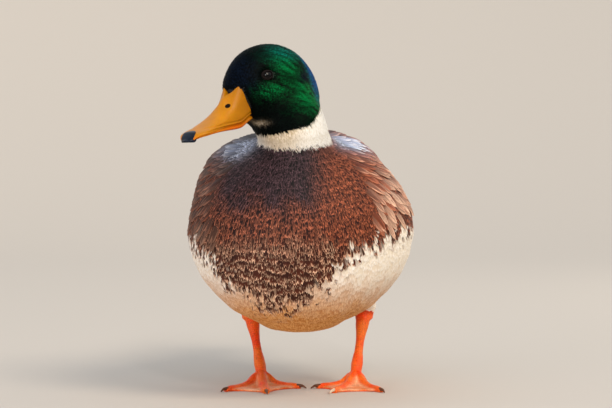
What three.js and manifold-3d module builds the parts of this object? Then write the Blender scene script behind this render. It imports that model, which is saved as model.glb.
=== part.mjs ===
// A drake mallard, life size, standing on both feet with its neck drawn in and its head turned to its
// right. Millimetres, +Z up. The bird faces -Y and its left side is +X. Every piece is a closed solid in
// its own mesh, and neighbours keep a thin gap. The shapes are given in the stance frame, whose origin is
// on the floor between the feet; the exported group shifts them so that the part's origin is the bottom
// centre of its bounding box.
import * as THREE from "three";
import { mergeVertices } from "three/addons/utils/BufferGeometryUtils.js";
import Module from "manifold-3d";

const wasm = await Module();
wasm.setup();

// ---- driving dimensions -------------------------------------------------------------------------

const GAP = 0.3; // between neighbouring solids
const SIDES = [
  [1, "left"],
  [-1, "right"],
];
const DEG = Math.PI / 180;

const EYE_CENTRE = new THREE.Vector3(-31.8, -77, 212); // midway between the eyes
const HEAD_YAW = -38 * DEG; // from straight ahead, towards the bird's right
const HEAD_PITCH = 15 * DEG; // bill down
const EYE_RADIUS = 5.4;
const EYE_OUT = 12.7; // eyeball centre from the head's middle plane

const BILL_TIP = 65.5; // forward of the eyes
const BILL_ROOT = 6; // where the bill's solids start, inside the head
const TOMIUM = -24.6; // level of the cutting edge below the eyes, at the gape

const FEET = [
  { side: "right", at: [-35.4, 21], lean: [-8.5, 17], yaw: { inner: 62, middle: 11, outer: -28 } },
  { side: "left", at: [31.4, 27], lean: [4, 17], yaw: { inner: -52, middle: -16, outer: 27 } },
];
const TOES = [
  { name: "inner", length: 33, radius: 2.7, claw: 5 },
  { name: "middle", length: 47, radius: 3.1, claw: 6.5 },
  { name: "outer", length: 43, radius: 2.8, claw: 5 },
];
const TOE_ROOT_HEIGHT = 10.5;
const TARSUS_TOP = 47;
const TARSUS_RADIUS = 2.8;
const WEB_THICKNESS = 1.3;

const TAIL_ROOT = new THREE.Vector3(0, 122, 121);
const TAIL_LENGTH = 96;
const TAIL_HALF_WIDTH = 31;
const TAIL_RISE = 6 * DEG;

const WING_DEPTH = 8; // how far the folded wing lies into the body's side

const TRUNK_ROLL = -4 * DEG; // the back leans to the bird's right
const TRUNK_AXIS = 55; // height of the line it rolls about

// ---- the frame of the head: u forward along the skull, v to the bird's left, w up ---------------

const headForward = new THREE.Vector3(
  Math.sin(HEAD_YAW) * Math.cos(HEAD_PITCH),
  -Math.cos(HEAD_YAW) * Math.cos(HEAD_PITCH),
  -Math.sin(HEAD_PITCH),
);
const headLeft = new THREE.Vector3(Math.cos(HEAD_YAW), Math.sin(HEAD_YAW), 0);
const headUp = new THREE.Vector3().crossVectors(headForward, headLeft);
const headFrame = new THREE.Matrix4()
  .makeBasis(headForward, headLeft, headUp)
  .setPosition(EYE_CENTRE);
const inHead = (u, v, w) => new THREE.Vector3(u, v, w).applyMatrix4(headFrame);

// ---- the bird's flesh and coat as one smooth field ----------------------------------------------

// A rounded volume: an ellipsoid with its radii along its own axes, placed in the given frame and pitched
// front-up.
function volume(frame, centre, radii, { pitch = 0, blend = 16 } = {}) {
  const place = new THREE.Matrix4()
    .makeTranslation(...centre)
    .multiply(new THREE.Matrix4().makeRotationX(-pitch * DEG));
  return {
    inverse: frame.clone().multiply(place).invert(),
    radii: new THREE.Vector3(...radii),
    blend,
  };
}

// The trunk leans a little to the bird's right, so its volumes are placed in a frame rolled about its
// length.
const trunkFrame = new THREE.Matrix4()
  .makeTranslation(0, 0, TRUNK_AXIS)
  .multiply(new THREE.Matrix4().makeRotationY(TRUNK_ROLL))
  .multiply(new THREE.Matrix4().makeTranslation(0, 0, -TRUNK_AXIS));
const upright = new THREE.Matrix4();

const TRUNK_VOLUMES = [
  volume(trunkFrame, [1.5, -34, 109.5], [78, 76, 64.5], { pitch: 14 }), // breast and shoulders
  volume(trunkFrame, [3, 30, 104], [67, 92, 53], { pitch: 6, blend: 26 }), // belly and back
  volume(trunkFrame, [0, 98, 119], [36, 56, 25], { pitch: 2, blend: 30 }), // rump and tail coverts
  volume(trunkFrame, [4, -66, 94], [49, 38, 42], { blend: 22 }), // crop, low on the breast
  volume(trunkFrame, [0, 66, 134], [44, 66, 24], { pitch: 14, blend: 20 }), // lower back
  volume(trunkFrame, [-8, 12, 148], [63, 60, 32], { pitch: 5, blend: 18 }), // mantle and scapulars
  volume(trunkFrame, [-34, -22, 143], [31, 44, 25], { blend: 16 }), // scapulars puffed up on the right
  volume(upright, [-2, -64, 147], [28, 30, 25], { blend: 18 }), // root of the neck
];
const NECK_VOLUMES = [
  volume(upright, [-3.5, -69, 172], [22.5, 22.5, 30], { blend: 10 }), // drawn-in neck
];
const HEAD_VOLUMES = [
  volume(headFrame, [-12.5, 0, -6.5], [33, 19.5, 25], { blend: 12 }), // skull
  volume(headFrame, [-15, 10, -16], [21, 10.5, 14], { blend: 10 }), // left cheek
  volume(headFrame, [-15, -10, -16], [21, 10.5, 14], { blend: 10 }), // right cheek
  volume(headFrame, [6, 0, -15], [15, 8.8, 13], { blend: 8 }), // face round the bill's root
  volume(headFrame, [-29, 0, -23], [24, 20, 26], { blend: 16 }), // nape
];

function ellipsoidDistance(v, point) {
  const p = point.clone().applyMatrix4(v.inverse);
  const k0 = p.clone().divide(v.radii).length();
  const k1 = p.clone().divide(v.radii).divide(v.radii).length();
  return k1 < 1e-9 ? -Math.min(...v.radii.toArray()) : (k0 * (k0 - 1)) / k1;
}

// Smooth union: each volume's own blend is the reach over which it flows into the ones before it.
function field(volumes, point) {
  let distance = Infinity;
  for (const v of volumes) {
    const d = ellipsoidDistance(v, point);
    const share = Math.max(v.blend - Math.abs(d - distance), 0) / v.blend;
    const eased = distance === Infinity ? 0 : (share * share * v.blend) / 4;
    distance = Math.min(d, distance) - eased;
  }
  return distance;
}

// A capsule drawn out from its core line until it meets the field's surface at the given level.
function wrapped(volumes, from, to, { around, caps, along, level = 0 }) {
  const axis = to.clone().sub(from).normalize();
  const side = new THREE.Vector3(1, 0, 0)
    .addScaledVector(axis, -axis.x)
    .normalize();
  const third = new THREE.Vector3().crossVectors(side, axis);
  const half = 1; // half the length of the capsule's straight part, in its own units
  const geometry = new THREE.CapsuleGeometry(1, 2 * half, caps, around, along);
  const place = geometry.getAttribute("position");
  const reach = (start, direction, t) =>
    field(volumes, start.clone().addScaledVector(direction, t)) - level;
  for (let i = 0; i < place.count; i++) {
    const at = new THREE.Vector3().fromBufferAttribute(place, i);
    const straight = THREE.MathUtils.clamp(at.y, -half, half);
    const start = from.clone().lerp(to, (straight + half) / (2 * half));
    const direction = new THREE.Vector3()
      .addScaledVector(side, at.x)
      .addScaledVector(axis, at.y - straight)
      .addScaledVector(third, at.z)
      .normalize();
    const step = 2;
    let far = step;
    while (reach(start, direction, far) < 0 && far < 400) far += step;
    let near = far - step;
    for (let n = 0; n < 18; n++) {
      const middle = (near + far) / 2;
      if (reach(start, direction, middle) < 0) near = middle;
      else far = middle;
    }
    start.addScaledVector(direction, near);
    place.setXYZ(i, start.x, start.y, start.z);
  }
  return geometry;
}

// ---- solids -------------------------------------------------------------------------------------

function solid(geometry) {
  const bare = geometry.index ? geometry.toNonIndexed() : geometry.clone();
  bare.deleteAttribute("normal");
  bare.deleteAttribute("uv");
  const merged = mergeVertices(bare, 1e-3);
  const made = new wasm.Manifold(
    new wasm.Mesh({
      numProp: 3,
      vertProperties: merged.getAttribute("position").array,
      triVerts: new Uint32Array(merged.index.array),
    }),
  );
  if (made.volume() > 0) return made;
  const turned = new Uint32Array(merged.index.array);
  for (let i = 0; i < turned.length; i += 3)
    [turned[i + 1], turned[i + 2]] = [turned[i + 2], turned[i + 1]];
  return new wasm.Manifold(
    new wasm.Mesh({
      numProp: 3,
      vertProperties: merged.getAttribute("position").array,
      triVerts: turned,
    }),
  );
}

// The largest body of a cut, so that slivers left by a cut don't count.
function largest(made) {
  return made
    .decompose()
    .sort((a, b) => b.volume() - a.volume())[0];
}

// The solid's surface, with the short edges that cuts leave welded away.
const WELD = 0.02;
function geometryOf(made) {
  const mesh = made.getMesh();
  const raw = new THREE.BufferGeometry();
  raw.setAttribute("position", new THREE.BufferAttribute(new Float32Array(mesh.vertProperties), 3));
  raw.setIndex(new THREE.BufferAttribute(new Uint32Array(mesh.triVerts), 1));
  const geometry = mergeVertices(raw, WELD);
  const kept = [];
  for (let i = 0; i < geometry.index.count; i += 3) {
    const [a, b, c] = [0, 1, 2].map((k) => geometry.index.getX(i + k));
    if (a !== b && b !== c && c !== a) kept.push(a, b, c);
  }
  geometry.setIndex(kept);
  geometry.computeVertexNormals();
  return geometry;
}

// A block that fills the far side of a plane.
function beyond(centre, normal, size = 500) {
  const block = new THREE.BoxGeometry(size, size, size);
  block.translate(0, size / 2, 0);
  const turn = new THREE.Quaternion().setFromUnitVectors(
    new THREE.Vector3(0, 1, 0),
    normal.clone().normalize(),
  );
  block.applyQuaternion(turn);
  block.translate(centre.x, centre.y, centre.z);
  return solid(block);
}

// ---- materials ----------------------------------------------------------------------------------

const finish = (color, roughness, metalness = 0) =>
  new THREE.MeshStandardMaterial({ color, roughness, metalness });
const GREEN = finish(0x0b3d25, 0.35, 0.3);
const CHESTNUT = finish(0x54301f, 0.8);
const CREAM = finish(0xe3d3b8, 0.8);
const GREY = finish(0x8d8378, 0.75);
const BROWN = finish(0x4d4038, 0.75);
const BLACK = finish(0x14161a, 0.6);
const WHITE = finish(0xe9e6df, 0.75);
const BILL_YELLOW = finish(0xd98a0d, 0.4);
const NAIL_BLACK = finish(0x17191b, 0.4);
const LEG_ORANGE = finish(0xe8500d, 0.5);
const CLAW_HORN = finish(0x5b4334, 0.5);
const EYE_BROWN = finish(0x1c0f0a, 0.05);

const bird = new THREE.Group();

function add(name, made, material) {
  const mesh = new THREE.Mesh(geometryOf(made), material);
  mesh.name = name;
  bird.add(mesh);
  return made;
}

// ---- eyes ---------------------------------------------------------------------------------------

function eyeball(side, radius) {
  const ball = new THREE.SphereGeometry(radius, 12, 8);
  const at = inHead(0, side * EYE_OUT, 0);
  ball.translate(at.x, at.y, at.z);
  return solid(ball);
}
for (const [side, name] of SIDES)
  add("eye_" + name, eyeball(side, EYE_RADIUS), EYE_BROWN);

// ---- head, neck and trunk: one surface, parted by thin cuts -------------------------------------

const ALL_VOLUMES = [...TRUNK_VOLUMES, ...NECK_VOLUMES, ...HEAD_VOLUMES];
const NECK_CORE = [new THREE.Vector3(0, -67, 150), new THREE.Vector3(-14, -71, 203)];
const TRUNK_CORE = [new THREE.Vector3(0, -52, 108), new THREE.Vector3(0, 112, 121)];
const NECK_MESH = { around: 28, caps: 7, along: 6 };
const TRUNK_MESH = { around: 30, caps: 6, along: 8 };

const headAndNeck = (level) =>
  solid(wrapped(ALL_VOLUMES, ...NECK_CORE, { ...NECK_MESH, level }));
const trunkWhole = (level) =>
  solid(wrapped(TRUNK_VOLUMES, ...TRUNK_CORE, { ...TRUNK_MESH, level }));

// The collar is the pale ring round the neck. Its upper edge rises to the nape and its lower edge dips to
// the breast.
const NECK_AXIS = new THREE.Vector3(-3.5, -69, 180);
const COLLAR_RADIUS = 24.3;
const COLLAR_TOP = {
  at: NECK_AXIS.clone().setZ(183.5),
  up: new THREE.Vector3(-0.34, -0.22, 1).normalize(),
};
const COLLAR_FOOT = {
  at: NECK_AXIS.clone().setZ(169.8),
  up: new THREE.Vector3(0.1, -0.2, 1).normalize(),
};
const above = (edge, by) => beyond(edge.at.clone().addScaledVector(edge.up, by), edge.up);
const below = (edge, by) =>
  beyond(edge.at.clone().addScaledVector(edge.up, by), edge.up.clone().negate());

const headNeck = headAndNeck(0);

// A sleeve round the neck: what flares out beyond it belongs to the shoulders.
function sleeve(grow) {
  const tube = new THREE.CylinderGeometry(COLLAR_RADIUS + grow, COLLAR_RADIUS + grow, 120, 32);
  tube.rotateX(Math.PI / 2);
  tube.translate(...NECK_AXIS.toArray());
  return solid(tube);
}

const head = largest(headNeck.intersect(above(COLLAR_TOP, GAP / 2)));
const collar = largest(
  headNeck
    .intersect(sleeve(0))
    .intersect(below(COLLAR_TOP, -GAP / 2))
    .intersect(above(COLLAR_FOOT, GAP / 2)),
);
const trunkBelow = (level) =>
  largest(
    trunkWhole(level)
      .intersect(below(COLLAR_TOP, -GAP / 2))
      .subtract(sleeve(GAP).intersect(above(COLLAR_FOOT, -GAP / 2))),
  );
const trunkBlock = trunkBelow(0);
const trunkGrown = trunkBelow(GAP);

// ---- bill ---------------------------------------------------------------------------------------

const mix = (a, b, t) => a + (b - a) * t;
const smooth = (a, b, x) => THREE.MathUtils.smoothstep(x, a, b);
const power = (x, n) => Math.sign(x) * Math.abs(x) ** n;

// Half-width of the bill: it narrows a little past the nostrils, then spreads to a spoon and closes round
// the nail.
function billHalfWidth(u) {
  const base = mix(11.2, 9.6, smooth(10, 32, u));
  const spoon = mix(base, 11.6, smooth(30, 57, u));
  const closing = THREE.MathUtils.clamp((BILL_TIP - u) / 14, 0, 1);
  return spoon * Math.sqrt(1 - (1 - closing) ** 2.3);
}
// The ridge falls in a hollow curve from the forehead to the flat tip.
function ridgeHeight(u) {
  const fall = THREE.MathUtils.clamp((u - 12) / (BILL_TIP - 12), 0, 1);
  return mix(0.5, -22.8, 1 - (1 - fall) ** 2.05) - 1.4 * smooth(60, BILL_TIP, u);
}
const edgeHeight = (u) =>
  TOMIUM + 0.9 * Math.sin(Math.PI * smooth(10, 62, u)) - 1.2 * smooth(58, BILL_TIP, u);

// A loft along u: a cylinder whose rings take the bill's half-width, ridge and edge at their place. The
// section is boxy near the forehead, where the bill's upper corners run up beside the feathers, and
// flat-oval at the tip.
function billLoft(start, end, half, top, bottom, { grow = 0, rings = 11, around = 14 } = {}) {
  const tube = new THREE.CylinderGeometry(1, 1, 1, around, rings);
  const place = tube.getAttribute("position");
  for (let i = 0; i < place.count; i++) {
    const [x, y, z] = [place.getX(i), place.getY(i), place.getZ(i)];
    const u = mix(start - grow, end + grow, 0.5 - y);
    const at = THREE.MathUtils.clamp(u, start + 0.02, end - 0.35);
    const middle = (top(at) + bottom(at)) / 2;
    const tall = (top(at) - bottom(at)) / 2 + grow;
    const point = inHead(
      u,
      power(x, mix(0.7, 0.86, smooth(14, 34, u))) * (half(at) + grow) * (1 - 0.16 * (z + 1) / 2),
      middle + power(z, z > 0 ? mix(0.6, 0.95, smooth(16, 40, u)) : 0.55) * tall,
    );
    place.setXYZ(i, point.x, point.y, point.z);
  }
  return solid(tube);
}
const upperBill = (grow = 0) =>
  billLoft(BILL_ROOT, BILL_TIP, billHalfWidth, ridgeHeight, edgeHeight, { grow });
const lowerBill = () =>
  billLoft(
    BILL_ROOT,
    BILL_TIP - 4,
    (u) => Math.max(billHalfWidth(u) - 1.5, 2),
    (u) => edgeHeight(u) - GAP - 0.25,
    (u) => edgeHeight(u) - mix(5.4, 2.2, smooth(10, 60, u)),
    { rings: 8, around: 10 },
  );

const headGrown = headAndNeck(GAP);
const upper = upperBill().subtract(headGrown);
const nailAt = new THREE.Vector3(BILL_TIP - 4.2, 0, -20);
const nailColumn = (radius) => {
  const column = new THREE.CylinderGeometry(radius, radius, 40, 20);
  column.rotateX(Math.PI / 2);
  column.translate(nailAt.x, nailAt.y, nailAt.z);
  column.applyMatrix4(headFrame);
  return solid(column);
};
const NAIL_RADIUS = 5.4;
add("bill_upper", largest(upper.subtract(nailColumn(NAIL_RADIUS + GAP))), BILL_YELLOW);
add("bill_nail", largest(upper.intersect(nailColumn(NAIL_RADIUS))), NAIL_BLACK);
add("bill_lower", largest(lowerBill().subtract(headGrown).subtract(upperBill(GAP))), BILL_YELLOW);

const eyeSockets = eyeball(1, EYE_RADIUS + GAP).add(eyeball(-1, EYE_RADIUS + GAP));
add("head", largest(head.subtract(eyeSockets)), GREEN);
add("neck", collar, WHITE);

// ---- folded wings: the body's sides, parted from it along the wing's outline --------------------

// The folded wing in side view, as [Y, Z] from the wrist over the back edge to the tip and back below.
const WING_OUTLINE = [
  [-44, 122],
  [-30, 146],
  [14, 154],
  [66, 147],
  [108, 137],
  [130, 127],
  [100, 111],
  [44, 98],
  [-14, 96],
  [-38, 104],
];
function wingPrism(side, grow = 0) {
  const curve = new THREE.CatmullRomCurve3(
    WING_OUTLINE.map(([y, z]) => new THREE.Vector3(0, y, z)),
    true,
    "catmullrom",
    0.5,
  );
  const middle = new THREE.Vector2(34, 128);
  const outline = curve.getSpacedPoints(40).slice(0, 40).map((p) => {
    const out = new THREE.Vector2(p.y, p.z).sub(middle);
    return out.setLength(out.length() + grow).add(middle);
  });
  const prism = new THREE.ExtrudeGeometry(new THREE.Shape(outline), {
    depth: 110,
    bevelEnabled: false,
  });
  // The shape's own X and Y become Y and Z, and the depth runs outwards along X from the innermost face.
  prism.applyMatrix4(new THREE.Matrix4().set(0, 0, 1, 18, 1, 0, 0, 0, 0, 1, 0, 0, 0, 0, 0, 1));
  prism.applyMatrix4(new THREE.Matrix4().makeScale(side, 1, 1));
  prism.applyMatrix4(trunkFrame);
  return solid(prism);
}
const wingFloor = trunkWhole(-WING_DEPTH);
const wingBed = trunkWhole(-WING_DEPTH - GAP);
let trunk = trunkBlock;
for (const [side, name] of SIDES) {
  const wing = trunkBlock.intersect(wingPrism(side)).subtract(wingFloor);
  add("wing_" + name, largest(wing), GREY);
  trunk = trunk.subtract(wingPrism(side, GAP).subtract(wingBed));
}
trunk = largest(trunk);

// ---- a flat blade: a box whose length, width and thickness follow functions of the way along it -

function blade({ length, half, thick, rows = 12, columns = 4, bend = () => 0, arch = 0 }) {
  const box = new THREE.BoxGeometry(2, 1, 1, columns, rows, 1);
  const place = box.getAttribute("position");
  for (let i = 0; i < place.count; i++) {
    const t = place.getY(i) + 0.5;
    const across = place.getX(i);
    const x = across * half(t);
    const drop = arch * across * across;
    const z = place.getZ(i) * thick(t) * (1 - 0.35 * across * across) + bend(t) - drop;
    place.setXYZ(i, x, t * length - 0.12 * length * smooth(0.6, 1, t) * across * across, z);
  }
  return box;
}

// ---- tail ---------------------------------------------------------------------------------------

const tailFan = blade({
  length: TAIL_LENGTH,
  half: (t) => mix(16, TAIL_HALF_WIDTH, smooth(0, 0.7, t)) * (1 - 0.45 * smooth(0.72, 1, t) ** 1.6),
  thick: (t) => mix(9, 2.2, smooth(0, 0.8, t)),
  rows: 10,
  columns: 6,
  arch: 5,
});
tailFan.rotateX(TAIL_RISE);
tailFan.translate(TAIL_ROOT.x, TAIL_ROOT.y, TAIL_ROOT.z);
tailFan.applyMatrix4(trunkFrame);
const tail = largest(solid(tailFan).subtract(trunkGrown));
add("tail", tail, WHITE);

// ---- wing tips: the long primaries, lying back over the rump on each side -----------------------

for (const [side, name] of SIDES) {
  const tips = blade({
    length: 100,
    half: (t) => mix(9, 6, t) * Math.sqrt(1.03 - smooth(0.55, 1, t) ** 2),
    thick: (t) => mix(6, 2, t),
    rows: 7,
    columns: 2,
    arch: 1.5,
  });
  tips.rotateY(side * 26 * DEG);
  tips.rotateX(-10.8 * DEG);
  tips.rotateZ(side * 9 * DEG);
  tips.translate(side * 28, 84, 149.5);
  tips.applyMatrix4(trunkFrame);
  add("primaries_" + name, largest(solid(tips).subtract(trunkGrown)), BROWN);
}

// ---- the drake's curled feathers over the root of the tail --------------------------------------

for (const [side, name] of SIDES) {
  const curl = new THREE.CatmullRomCurve3(
    [
      [4, 130, 133],
      [5, 148, 138],
      [5.8, 161, 146],
      [6.4, 165, 156],
      [7, 158, 164],
      [7.6, 148, 162],
      [8.2, 146, 155],
    ].map(([x, y, z]) => new THREE.Vector3(side * x, y, z)),
  );
  const section = new THREE.Shape();
  section.absellipse(0, 0, 1.1, 3.6, 0, 2 * Math.PI);
  const ribbon = new THREE.ExtrudeGeometry(section, {
    steps: 12,
    curveSegments: 3,
    extrudePath: curl,
  });
  ribbon.applyMatrix4(trunkFrame);
  add("tail_curl_" + name, largest(solid(ribbon).subtract(trunkGrown)), BLACK);
}

// ---- legs and feet ------------------------------------------------------------------------------

// A round limb: a cylinder whose rings follow a smooth curve through the points, with a radius given along
// it.
function limb(points, radius, { around = 8, rings = 8, aside = new THREE.Vector3(0, 0, 1) } = {}) {
  const path = new THREE.CatmullRomCurve3(points);
  const tube = new THREE.CylinderGeometry(1, 1, 1, around, rings);
  const place = tube.getAttribute("position");
  for (let i = 0; i < place.count; i++) {
    const t = 0.5 - place.getY(i);
    const onward = path.getTangent(t);
    const side = new THREE.Vector3().crossVectors(onward, aside).normalize();
    const third = new THREE.Vector3().crossVectors(side, onward);
    const at = path
      .getPoint(t)
      .addScaledVector(side, place.getX(i) * radius(t))
      .addScaledVector(third, place.getZ(i) * radius(t));
    place.setXYZ(i, at.x, at.y, at.z);
  }
  return solid(tube);
}

const toeTurn = (foot, toe) => foot.yaw[toe.name] * DEG;
const heading = (yaw) => new THREE.Vector3(Math.sin(yaw), -Math.cos(yaw), 0);
const toePoint = (foot, toe, reach, height) =>
  new THREE.Vector3(foot.at[0], foot.at[1], height).addScaledVector(
    heading(toeTurn(foot, toe)),
    reach,
  );
const floorBlock = beyond(new THREE.Vector3(0, 0, 0), new THREE.Vector3(0, 0, -1));

// The toe slopes down from its root, then lies along the floor. It swells at its pads.
const toeHeight = (t) => 1.2 + (TOE_ROOT_HEIGHT - 3.2) * (1 - smooth(0, 0.5, t)) ** 1.2;
const toeRadius = (toe, t) =>
  toe.radius * (mix(1.2, 0.72, t) + 0.1 * Math.sin(3 * Math.PI * t) ** 2);
const toeLimb = (foot, toe) =>
  limb(
    [0, 0.2, 0.4, 0.6, 0.8, 1].map((t) => toePoint(foot, toe, t * toe.length, toeHeight(t))),
    (t) => toeRadius(toe, t),
    { around: 7, rings: 6 },
  );

// A claw curves from inside the toe's end down to the floor.
const claw = (foot, toe, grow = 0) =>
  limb(
    [
      toePoint(foot, toe, toe.length - 2.4, 1.9),
      toePoint(foot, toe, toe.length + toe.claw * 0.4, 2.1),
      toePoint(foot, toe, toe.length + toe.claw + grow, 0.7),
    ],
    (t) => mix(1.45, 0.45, t) + grow,
    { around: 6, rings: 4 },
  );

// The web between two toes: a thin sheet that hangs from both, with its free edge hollowed.
function web(foot, a, b, hollow) {
  const sheet = new THREE.BoxGeometry(1, 1, 1, 3, 5, 1);
  const place = sheet.getAttribute("position");
  for (let i = 0; i < place.count; i++) {
    const across = place.getX(i) + 0.5;
    const along = place.getY(i) + 0.5;
    const edge = 0.95 - hollow * 4 * across * (1 - across);
    const t = along * edge;
    const from = toePoint(foot, a, t * a.length, 0);
    const to = toePoint(foot, b, t * b.length, 0);
    const at = from.lerp(to, across);
    const top = toeHeight(t) + 0.5 - 0.35 * Math.sin(Math.PI * across);
    const z = place.getZ(i) > 0 ? top : top - WEB_THICKNESS - 0.9 * (1 - along);
    place.setXYZ(i, at.x, at.y, z);
  }
  return solid(sheet);
}

const [INNER, MIDDLE, OUTER] = TOES;
for (const foot of FEET) {
  const [leanX, leanY] = foot.lean;
  const rootAt = new THREE.Vector3(foot.at[0], foot.at[1], TOE_ROOT_HEIGHT);
  const ankleAt = new THREE.Vector3(foot.at[0] + leanX, foot.at[1] + leanY, TARSUS_TOP);
  const along = (t) => rootAt.clone().lerp(ankleAt, t);
  const up = ankleAt.clone().sub(rootAt).normalize();
  const onX = new THREE.Vector3(1, 0, 0);
  const cut = (t, shift = 0) => along(t).addScaledVector(up, shift);

  // Shank: the feathered end of the drumstick, between the flank and the ankle.
  const shank = limb(
    [along(0.97), along(1.15), ankleAt.clone().add(new THREE.Vector3(leanX * 0.3, -6, 22))],
    (t) => mix(5.4, 12.5, t ** 0.8),
    { around: 12, rings: 4, aside: onX },
  );
  add("shank_" + foot.side, largest(shank.subtract(trunkGrown)), CREAM);

  // Tarsus: a slim scaled shaft, thick at the ankle and at the toes' root.
  const shaft = limb(
    [along(0.14), along(0.5), along(0.97)],
    (t) => TARSUS_RADIUS + 1.2 * (1 - smooth(0, 0.35, t)) + 2.2 * smooth(0.55, 1, t),
    { around: 10, rings: 7, aside: onX },
  );
  const tarsus = shaft.subtract(beyond(cut(0.97, -GAP), up)).subtract(trunkGrown);
  add("tarsus_" + foot.side, largest(tarsus), LEG_ORANGE);

  // Foot: three toes, their webs and the heel, flat underneath.
  const heel = limb([along(-0.04), along(0.06), along(0.14)], (t) => mix(3.6, 4.1, t), {
    around: 10,
    rings: 2,
    aside: onX,
  });
  let whole = wasm.Manifold.union([
    heel,
    web(foot, INNER, MIDDLE, 0.16),
    web(foot, MIDDLE, OUTER, 0.13),
    ...TOES.map((toe) => toeLimb(foot, toe)),
  ])
    .subtract(floorBlock)
    .subtract(beyond(cut(0.14, -GAP), up));
  for (const toe of TOES) whole = whole.subtract(claw(foot, toe, GAP));
  add("foot_" + foot.side, largest(whole), LEG_ORANGE);
  for (const toe of TOES)
    add("claw_" + toe.name + "_" + foot.side, largest(claw(foot, toe).subtract(floorBlock)), CLAW_HORN);

  // Hind toe: short, set on the back of the tarsus clear of the floor.
  const back = heading(foot.yaw.middle * DEG).negate();
  const behind = (reach, z) =>
    new THREE.Vector3(foot.at[0], foot.at[1], z).addScaledVector(back, reach);
  const hind = limb(
    [behind(2.6, 10.6), behind(8, 8), behind(13, 4.2)],
    (t) => mix(2, 1.1, t),
    { around: 8, rings: 4 },
  );
  const hindBed = limb([along(-0.1), along(0.1), along(0.4)], () => 4.1 + GAP, {
    around: 10,
    rings: 2,
    aside: onX,
  });
  add("hind_toe_" + foot.side, largest(hind.subtract(hindBed).subtract(whole)), LEG_ORANGE);
}

add("trunk", trunk, CHESTNUT);

// ---- the part's own frame: the origin at the bottom centre of the bounding box ------------------

const box = new THREE.Box3().setFromObject(bird);
const centre = box.getCenter(new THREE.Vector3());
const part = new THREE.Group();
bird.position.set(-centre.x, -centre.y, -box.min.z);
part.add(bird);

export default part;
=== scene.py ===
import math

import bmesh
import bpy
import numpy as np
from mathutils import Matrix, Vector
from mathutils.bvhtree import BVHTree


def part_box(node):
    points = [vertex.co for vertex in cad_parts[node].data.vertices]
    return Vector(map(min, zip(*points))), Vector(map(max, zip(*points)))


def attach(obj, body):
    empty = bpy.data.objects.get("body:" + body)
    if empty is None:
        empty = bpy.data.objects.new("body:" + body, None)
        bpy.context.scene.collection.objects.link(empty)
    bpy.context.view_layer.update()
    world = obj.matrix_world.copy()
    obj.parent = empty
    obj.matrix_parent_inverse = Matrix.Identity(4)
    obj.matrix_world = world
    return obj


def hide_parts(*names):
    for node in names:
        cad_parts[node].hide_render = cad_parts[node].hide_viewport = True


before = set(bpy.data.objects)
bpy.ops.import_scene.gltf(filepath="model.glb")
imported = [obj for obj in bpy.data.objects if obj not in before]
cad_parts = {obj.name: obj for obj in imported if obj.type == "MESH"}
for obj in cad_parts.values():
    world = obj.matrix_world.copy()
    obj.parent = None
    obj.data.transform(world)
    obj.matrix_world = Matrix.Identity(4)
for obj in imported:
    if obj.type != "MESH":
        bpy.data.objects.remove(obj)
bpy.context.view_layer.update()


# ---- Camera ----------------------------------------------------------------
# The camera stands 1.2 m in front of the bird, at the height of its shoulders and a little to its left.
# Places are given in millimetres from the floor point between the feet, and the eyes tie them to the solids.

MM = 0.001
EYES_MIDDLE = Vector((-31.8, -77.0, 212.0)) * MM
LENS_LENGTH = 102.3
CAMERA_PLACE = (102.9, -1195.6, 144.9)
CAMERA_DIP, CAMERA_TURN = math.radians(0.79), math.radians(5)
eye_places = [sum(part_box(node), Vector()) / 2 for node in ("eye_left", "eye_right")]
floor_point = (eye_places[0] + eye_places[1]) / 2 - EYES_MIDDLE


def stance(x, y, z):
    """A place given in millimetres from the floor point between the feet, as a point of the frame."""
    return floor_point + Vector((x, y, z)) * MM


def placed(name, data):
    """Puts a mesh, a lamp or a camera into the scene."""
    thing = bpy.data.objects.new(name, data)
    bpy.context.collection.objects.link(thing)
    return thing


camera = placed("camera", bpy.data.cameras.new("camera"))
camera.data.lens = LENS_LENGTH
camera.data.sensor_width = 36.0
camera.location = stance(*CAMERA_PLACE)
camera.rotation_euler = (math.pi / 2 - CAMERA_DIP, 0, CAMERA_TURN)
bpy.context.scene.camera = camera


# ---- Skin ------------------------------------------------------------------
# One skin runs from the face to the toes with no seam. It lies under the outline by the depth of the
# feathers, and bare scaly skin shows only on the legs, webs and toes.

FEATHERED_FLESH = ["trunk", "neck", "head", "wing_left", "wing_right"]
BARE_FLESH = [f"{part}_{side}" for part in ("tarsus", "foot", "hind_toe") for side in ("left", "right")]
SHANKS = ["shank_left", "shank_right"]
EYES = ["eye_left", "eye_right"]
SIDES = {"left": 1, "right": -1}
BODY_COAT = 3.4
NECK_COAT = 1.8
HEAD_COAT = 1.3
SHANK_COAT = 4.0
BELLY_COAT = 2.2
BARE_BELOW = 56.0
SHANK_MIDDLES = [(41.0, 43.0), (-48.0, 37.0)]

HEAD_YAW, HEAD_PITCH = math.radians(-38), math.radians(15)
head_forward = Vector((
    math.sin(HEAD_YAW) * math.cos(HEAD_PITCH),
    -math.cos(HEAD_YAW) * math.cos(HEAD_PITCH),
    -math.sin(HEAD_PITCH),
))
head_left = Vector((math.cos(HEAD_YAW), math.sin(HEAD_YAW), 0))
head_up = head_forward.cross(head_left)
head_axes = np.array([head_forward, head_left, head_up])
head_matrix = Matrix((head_forward, head_left, head_up)).transposed().to_4x4()
head_matrix.translation = stance(*(EYES_MIDDLE / MM))


def in_head(forward, left, up):
    """A place given in millimetres from midway between the eyes, along the head's own axes."""
    return head_matrix @ (Vector((forward, left, up)) * MM)


def stance_of(points):
    """The points' places in millimetres from the floor point between the feet."""
    return (points - np.array(floor_point)) / MM


def head_of(points):
    """The points' places in millimetres along the head's own axes, from midway between the eyes."""
    return (points - np.array(head_matrix.translation)) @ head_axes.T / MM


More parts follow.
